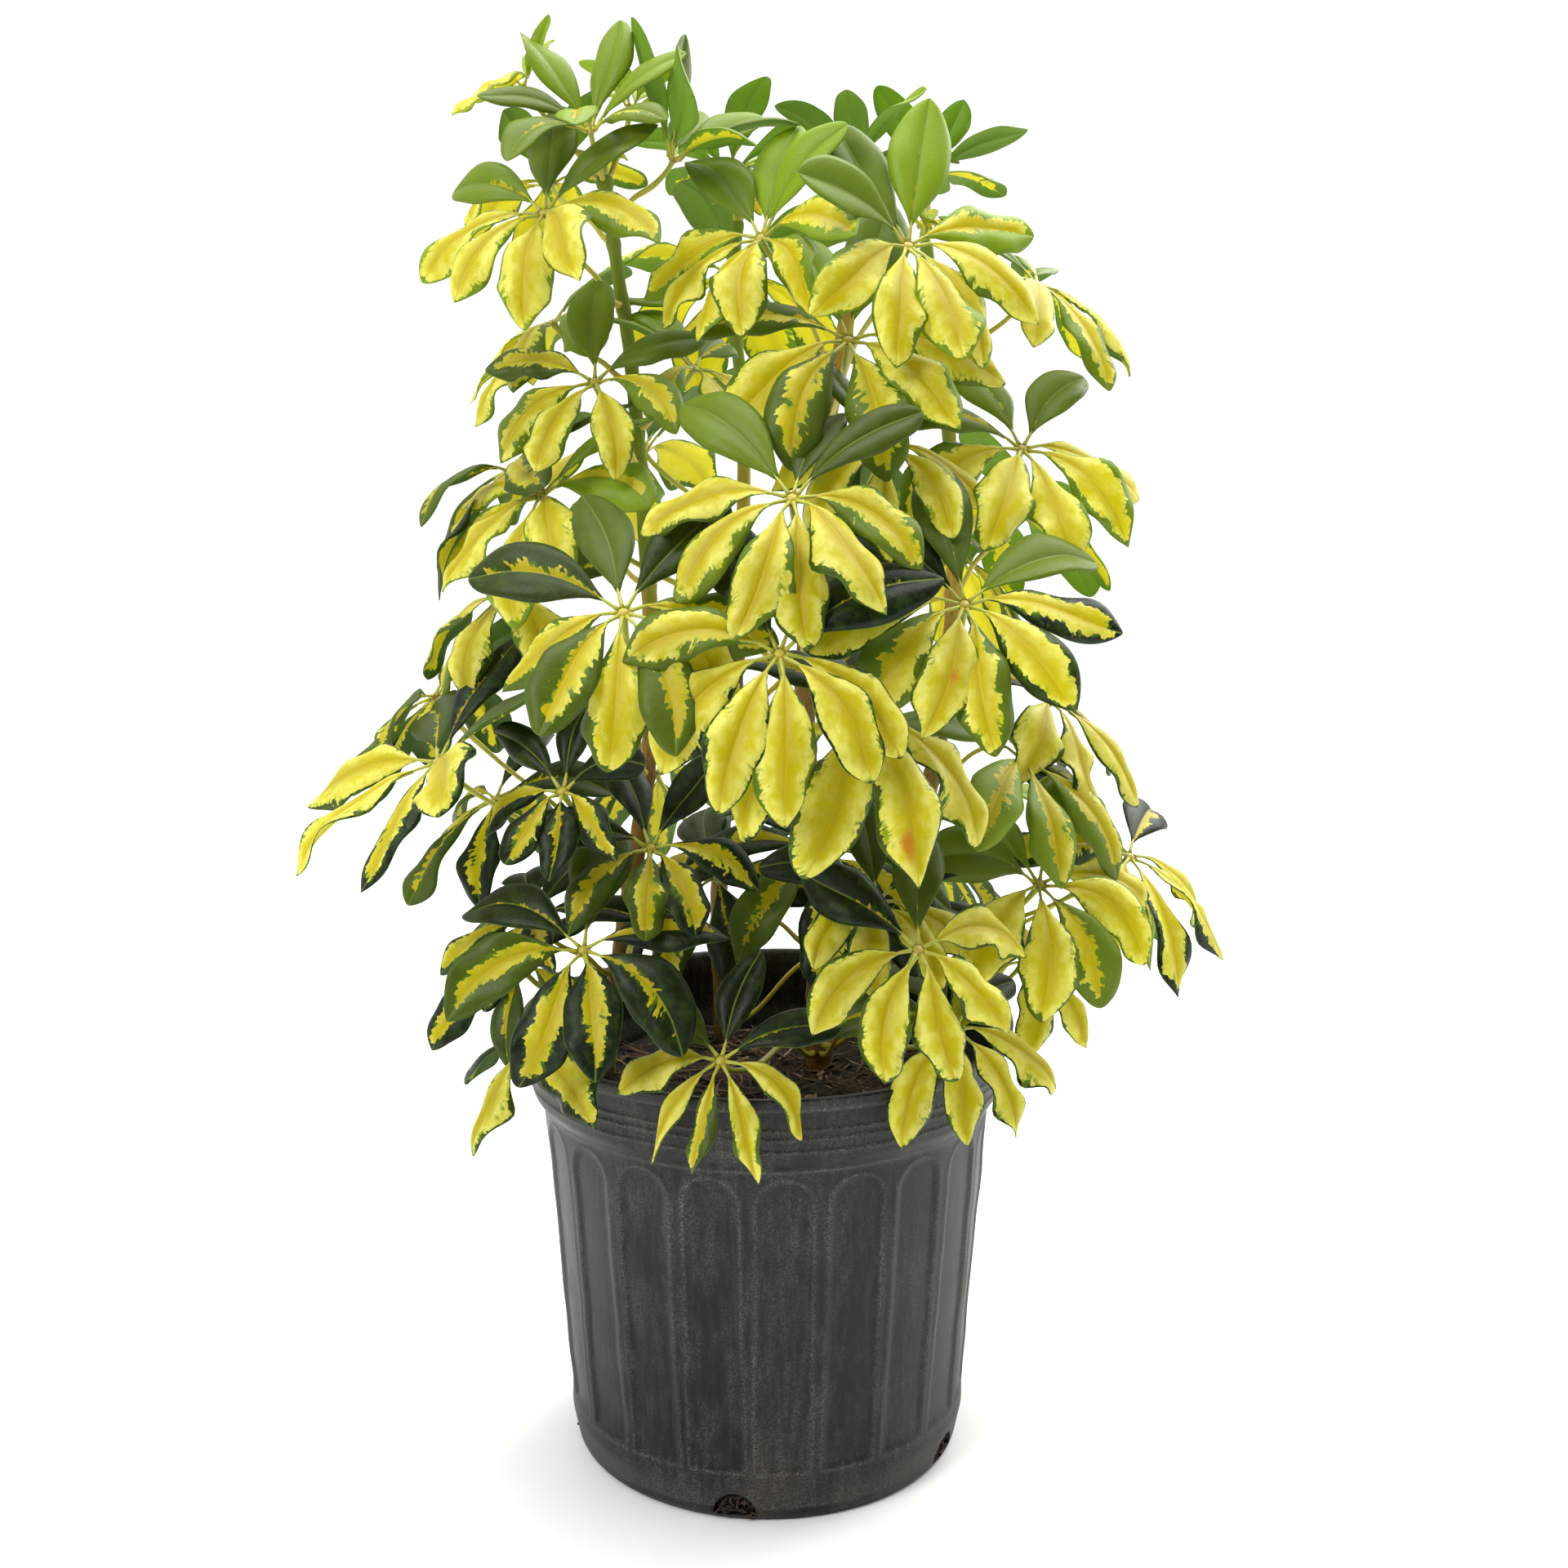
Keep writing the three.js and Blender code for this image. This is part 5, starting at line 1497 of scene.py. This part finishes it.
@dataclass(frozen=True)
class PottingMix:
    """The bark mix: a lumpy bed with torn splinters and chips on it. Sizes are millimetres."""

    level: float = 204.0
    edge: float = 123.9
    rings: int = 40
    columns: int = 150
    splinters: int = 1500
    chips: int = 160
    seed: int = 11
    splinter_length: tuple[float, float] = (7.0, 30.0)
    splinter_width: tuple[float, float] = (0.5, 1.5)
    chip_length: tuple[float, float] = (6.0, 13.0)
    chip_width: tuple[float, float] = (2.2, 4.2)
    roots: int = 70  # in each drain
    root_length: tuple[float, float] = (3.0, 9.0)
    furthest_root: float = 112.5  # from the pot's axis

    def surface(self, places: np.ndarray) -> np.ndarray:
        """The height of the bed at places across it: the solid's own lumps with finer ones on them.

        Args:
            places: the places, one a row.

        Returns:
            the height at each.
        """
        x, y = places[:, 0], places[:, 1]
        lumps = 1.5 * (np.sin(x / 17 + 2 * np.sin(y / 23)) + np.cos(y / 13 + x / 31))
        return self.level + lumps + 1.1 * ripples(places, 9.0, 21) + 0.6 * ripples(places, 4.0, 22)

    def build(self, bark: bpy.types.Material) -> bpy.types.Object:
        """Builds the bed in its place.

        Args:
            bark: the mix's material.

        Returns:
            the piece that stands for the mix's node.
        """
        sides = [(104.0, 3.5), (109.0, 9.5), (111.3, 27.0), (self.edge - 0.4, 196.0)]
        top = self.edge * (1 - np.linspace(0, 1, self.rings)[:-1] ** 1.2)
        turns = np.arange(self.columns) * 2 * math.pi / self.columns
        around = np.stack([np.sin(turns), -np.cos(turns)], axis=1)
        points = [np.column_stack([radius * around, np.full(self.columns, height)])
                  for radius, height in sides]
        for radius in top:
            flat = radius * around
            points.append(np.column_stack([flat, self.surface(flat)]))
        draft = Draft("bark_mix_bed", ("draw",))
        everything = np.concatenate(points)
        shade = 0.14 + 0.12 * ripples(everything, 7.0, 23)
        draft.add(everything * MM, closed_rings(len(points), self.columns), draw=shade)
        return settle(draft.build([bark]), "bark_mix", "potting_mix")

    def build_splinters(self, bark: bpy.types.Material) -> bpy.types.Object:
        """Builds the torn fibres and chips that lie on the bed.

        Args:
            bark: their material.

        Returns:
            the fibres and chips as one piece, which stands for no node.
        """
        rng = np.random.default_rng(self.seed)
        draft = Draft("bark_splinters", ("draw",))
        for k in range(self.splinters + self.chips):
            chip = k >= self.splinters
            radius, turn = (self.edge - 6) * math.sqrt(rng.uniform()), rng.uniform(0, 2 * math.pi)
            place = radius * np.array([math.sin(turn), -math.cos(turn)])
            aim, tilt = rng.uniform(0, 2 * math.pi), rng.normal(0, 0.16)
            length = rng.uniform(*(self.chip_length if chip else self.splinter_length))
            width = rng.uniform(*(self.chip_width if chip else self.splinter_width))
            steps = np.linspace(-0.5, 0.5, 5)
            ahead = np.array([math.cos(aim), math.sin(aim)])
            bend = rng.uniform(-0.18, 0.18) * length * (0.25 - steps ** 2) * 4
            flat = place + np.outer(steps * length, ahead) + np.outer(bend, (-ahead[1], ahead[0]))
            reach = np.hypot(flat[:, 0], flat[:, 1])
            flat *= np.minimum(1, (self.edge - 1) / np.maximum(reach, 1))[:, None]
            height = self.surface(flat).mean() + rng.uniform(0.1, 2.6) + steps * length * math.sin(tilt)
            path = np.column_stack([flat, np.maximum(height, self.surface(flat) + 0.1)]) * MM
            radii = width * MM * np.array([0.25, 0.9, 1.0, 0.8, 0.2]) / 1.6
            draft.tube(path, radii, 5, flat=rng.uniform(0.25, 0.6),
                       draw=float(np.clip(rng.normal(0.48, 0.24), 0.1, 1)))
        return settle(draft.build([bark], smooth=False), "bark_mix")

    def build_plugs(self, pot: NurseryPot, bark: bpy.types.Material) -> bpy.types.Object:
        """Builds the dark roots and crumbs that show in the drains.

        Args:
            pot: the pot that has the drains.
            bark: their material.

        Returns:
            the roots of all the drains as one piece, which stands for no node.
        """
        rng = np.random.default_rng(self.seed + 1)
        draft = Draft("drain_roots", ("draw",))
        for k in range(pot.drains):
            bearing = math.radians(pot.first_drain + 360 * k / pot.drains)
            out = np.array([math.sin(bearing), -math.cos(bearing), 0])
            side = np.array([math.cos(bearing), math.sin(bearing), 0])
            for _ in range(self.roots):
                start = (out * rng.uniform(106, 111.5) + side * rng.uniform(-10, 10)
                         + np.array([0, 0, rng.uniform(4.5, 15)]))
                aim = unit(side * rng.normal() + np.array([0, 0, rng.normal() * 0.6])
                           + out * rng.normal() * 0.15)
                length = rng.uniform(*self.root_length)
                steps = np.linspace(0, 1, 4)
                path = start + np.outer(steps * length, aim) + np.outer((steps * (1 - steps)) * 3, out)
                path[:, 2] = np.clip(path[:, 2], 3.8, 16.5)
                far = np.hypot(path[:, 0], path[:, 1])
                path[:, :2] *= np.minimum(1, self.furthest_root / far)[:, None]
                radii = rng.uniform(0.3, 1.1) * np.array([0.5, 1, 0.9, 0.3])
                draft.tube(path * MM, radii * MM, 5, up=out, draw=float(rng.uniform(0.08, 0.5)))
        return settle(draft.build([bark], smooth=False), "bark_mix")


# ---------------------------------------------------------------- the studio
@dataclass(frozen=True)
class Studio:
    """The plain white room, its soft lights and the camera where the photograph was taken from."""

    camera_place: tuple[float, float, float] = (0.010, -1.040, 0.583)
    pitch: float = 10.8  # degrees below level
    focal_pixels: float = 2315.0
    frame_pixels: float = 1920.0
    sensor: float = 36.0
    white: str = "#ffffff"
    floor_radius: float = 2.4  # metres
    aim_height: float = 0.4  # metres up the plant, where the softboxes are turned to
    # How bright the walls are behind the camera and behind the plant.
    walls: tuple[float, float] = (0.17, 1.12)
    # Each softbox: its place, its side in metres and its power in watts.
    softboxes: tuple[tuple[tuple[float, float, float], float, float], ...] = (
        ((0.1, 0.2, 2.7), 2.4, 88.0), ((-1.4, -1.5, 1.9), 0.9, 38.0), ((1.2, 1.2, 1.7), 1.8, 50.0))

    def walls_lit(self) -> bpy.types.World:
        """The white walls, which light the plant most from behind, so that the pot's front stays dark.

        Returns:
            the surroundings.
        """
        room = bpy.data.worlds.new("white_room")
        room.use_nodes = True
        nodes, links = room.node_tree.nodes, room.node_tree.links
        background = nodes["Background"]
        background.inputs["Color"].default_value = linear(self.white)
        place, parts, shade, path, brightest = [nodes.new("ShaderNode" + kind) for kind in
                                                ("TexCoord", "SeparateXYZ", "MapRange", "LightPath", "Math")]
        brightest.operation = "MAXIMUM"
        shade.interpolation_type = "SMOOTHSTEP"
        for name, value in zip(("From Min", "From Max", "To Min", "To Max"), (-0.75, 0.3, *self.walls)):
            shade.inputs[name].default_value = value
        links.new(place.outputs["Generated"], parts.inputs["Vector"])
        links.new(parts.outputs["Y"], shade.inputs["Value"])
        links.new(shade.outputs["Result"], brightest.inputs[0])
        links.new(path.outputs["Is Camera Ray"], brightest.inputs[1])
        links.new(brightest.outputs[0], background.inputs["Strength"])
        return room

    def build(self) -> None:
        """Makes the floor, the lights, the white surroundings and the camera."""
        scene = bpy.context.scene
        draft = Draft("studio_floor")
        turns = np.linspace(0, 2 * math.pi, 65)[:-1]
        edge = self.floor_radius * np.column_stack([np.cos(turns), np.sin(turns), 0 * turns])
        draft.add(edge, [range(len(turns))])
        draft.build([PaintedFloor().make()], smooth=False)
        scene.world = self.walls_lit()
        for k, (place, side, power) in enumerate(self.softboxes):
            lamp = bpy.data.lights.new(f"softbox_{k}", "AREA")
            lamp.size, lamp.energy = side, power
            box = bpy.data.objects.new(lamp.name, lamp)
            box.location = place
            toward = Vector((0, 0, self.aim_height)) - box.location
            box.rotation_euler = toward.to_track_quat("-Z", "Y").to_euler()
            scene.collection.objects.link(box)
        lens = bpy.data.cameras.new("photo_camera")
        lens.sensor_width = self.sensor
        lens.lens = self.sensor * self.focal_pixels / self.frame_pixels
        camera = bpy.data.objects.new("photo_camera", lens)
        camera.location = self.camera_place
        camera.rotation_euler = (math.radians(90 - self.pitch), 0, 0)
        scene.collection.objects.link(camera)
        scene.camera = camera
        scene.view_settings.view_transform = "Standard"
        log.info("studio: floor, %d softboxes and camera", len(self.softboxes))


# ---------------------------------------------------------------- the whole plant
# The height under which each stem is brown and the one over which it is green, in metres.
STEM_COLOURS = {"left": (0.36, 0.56), "centre": (0.34, 0.95), "right": (0.3, 0.7), "back": (0.34, 0.66)}
TIP_LEAFLETS = {"left": 7, "centre": 5, "right": 5, "back": 5}  # round the bud at each stem's end
TIP_SEEDS = 300  # where the seeds of the shoot tips' draws start


def main() -> None:
    """Builds every piece in order."""
    logging.basicConfig(level=logging.INFO, format="%(name)s: %(message)s")
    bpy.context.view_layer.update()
    plastic, bark_mix = MouldedPolyethylene().make(), ShreddedBark().make()
    wood, stalk = WoodyBark().make(), GreenStalk().make()
    mature, young = VariegatedLeaf().make(), YOUNG_LEAF.make()

    pot, mix = NurseryPot(), PottingMix()
    pot.build(plastic)
    mix.build(bark_mix)
    mix.build_splinters(bark_mix)
    mix.build_plugs(pot, bark_mix)

    count = sum(name.startswith("leaf_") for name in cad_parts)
    leaves = [CompoundLeaf(number) for number in range(1, count + 1)]
    for leaf in leaves:
        leaf.build(young if leaf.young else mature, stalk)
    feet = np.array([leaf.skeleton.petiole[-1] for leaf in leaves])
    stems = {name: WoodyStem(name, [], *colours) for name, colours in STEM_COLOURS.items()}
    lines = {name: stem.rings()[0] for name, stem in stems.items()}
    for foot in feet:
        nearest = min(lines, key=lambda name: np.linalg.norm(lines[name] - foot, axis=1).min())
        stems[nearest].scars.append(foot)
    for k, (name, stem) in enumerate(stems.items()):
        stem.build(wood)
        ShootTip(name, lines[name][-1], TIP_LEAFLETS[name], TIP_SEEDS + k).build(young, stalk)

    Studio().build()


if __name__ == "__main__":
    main()
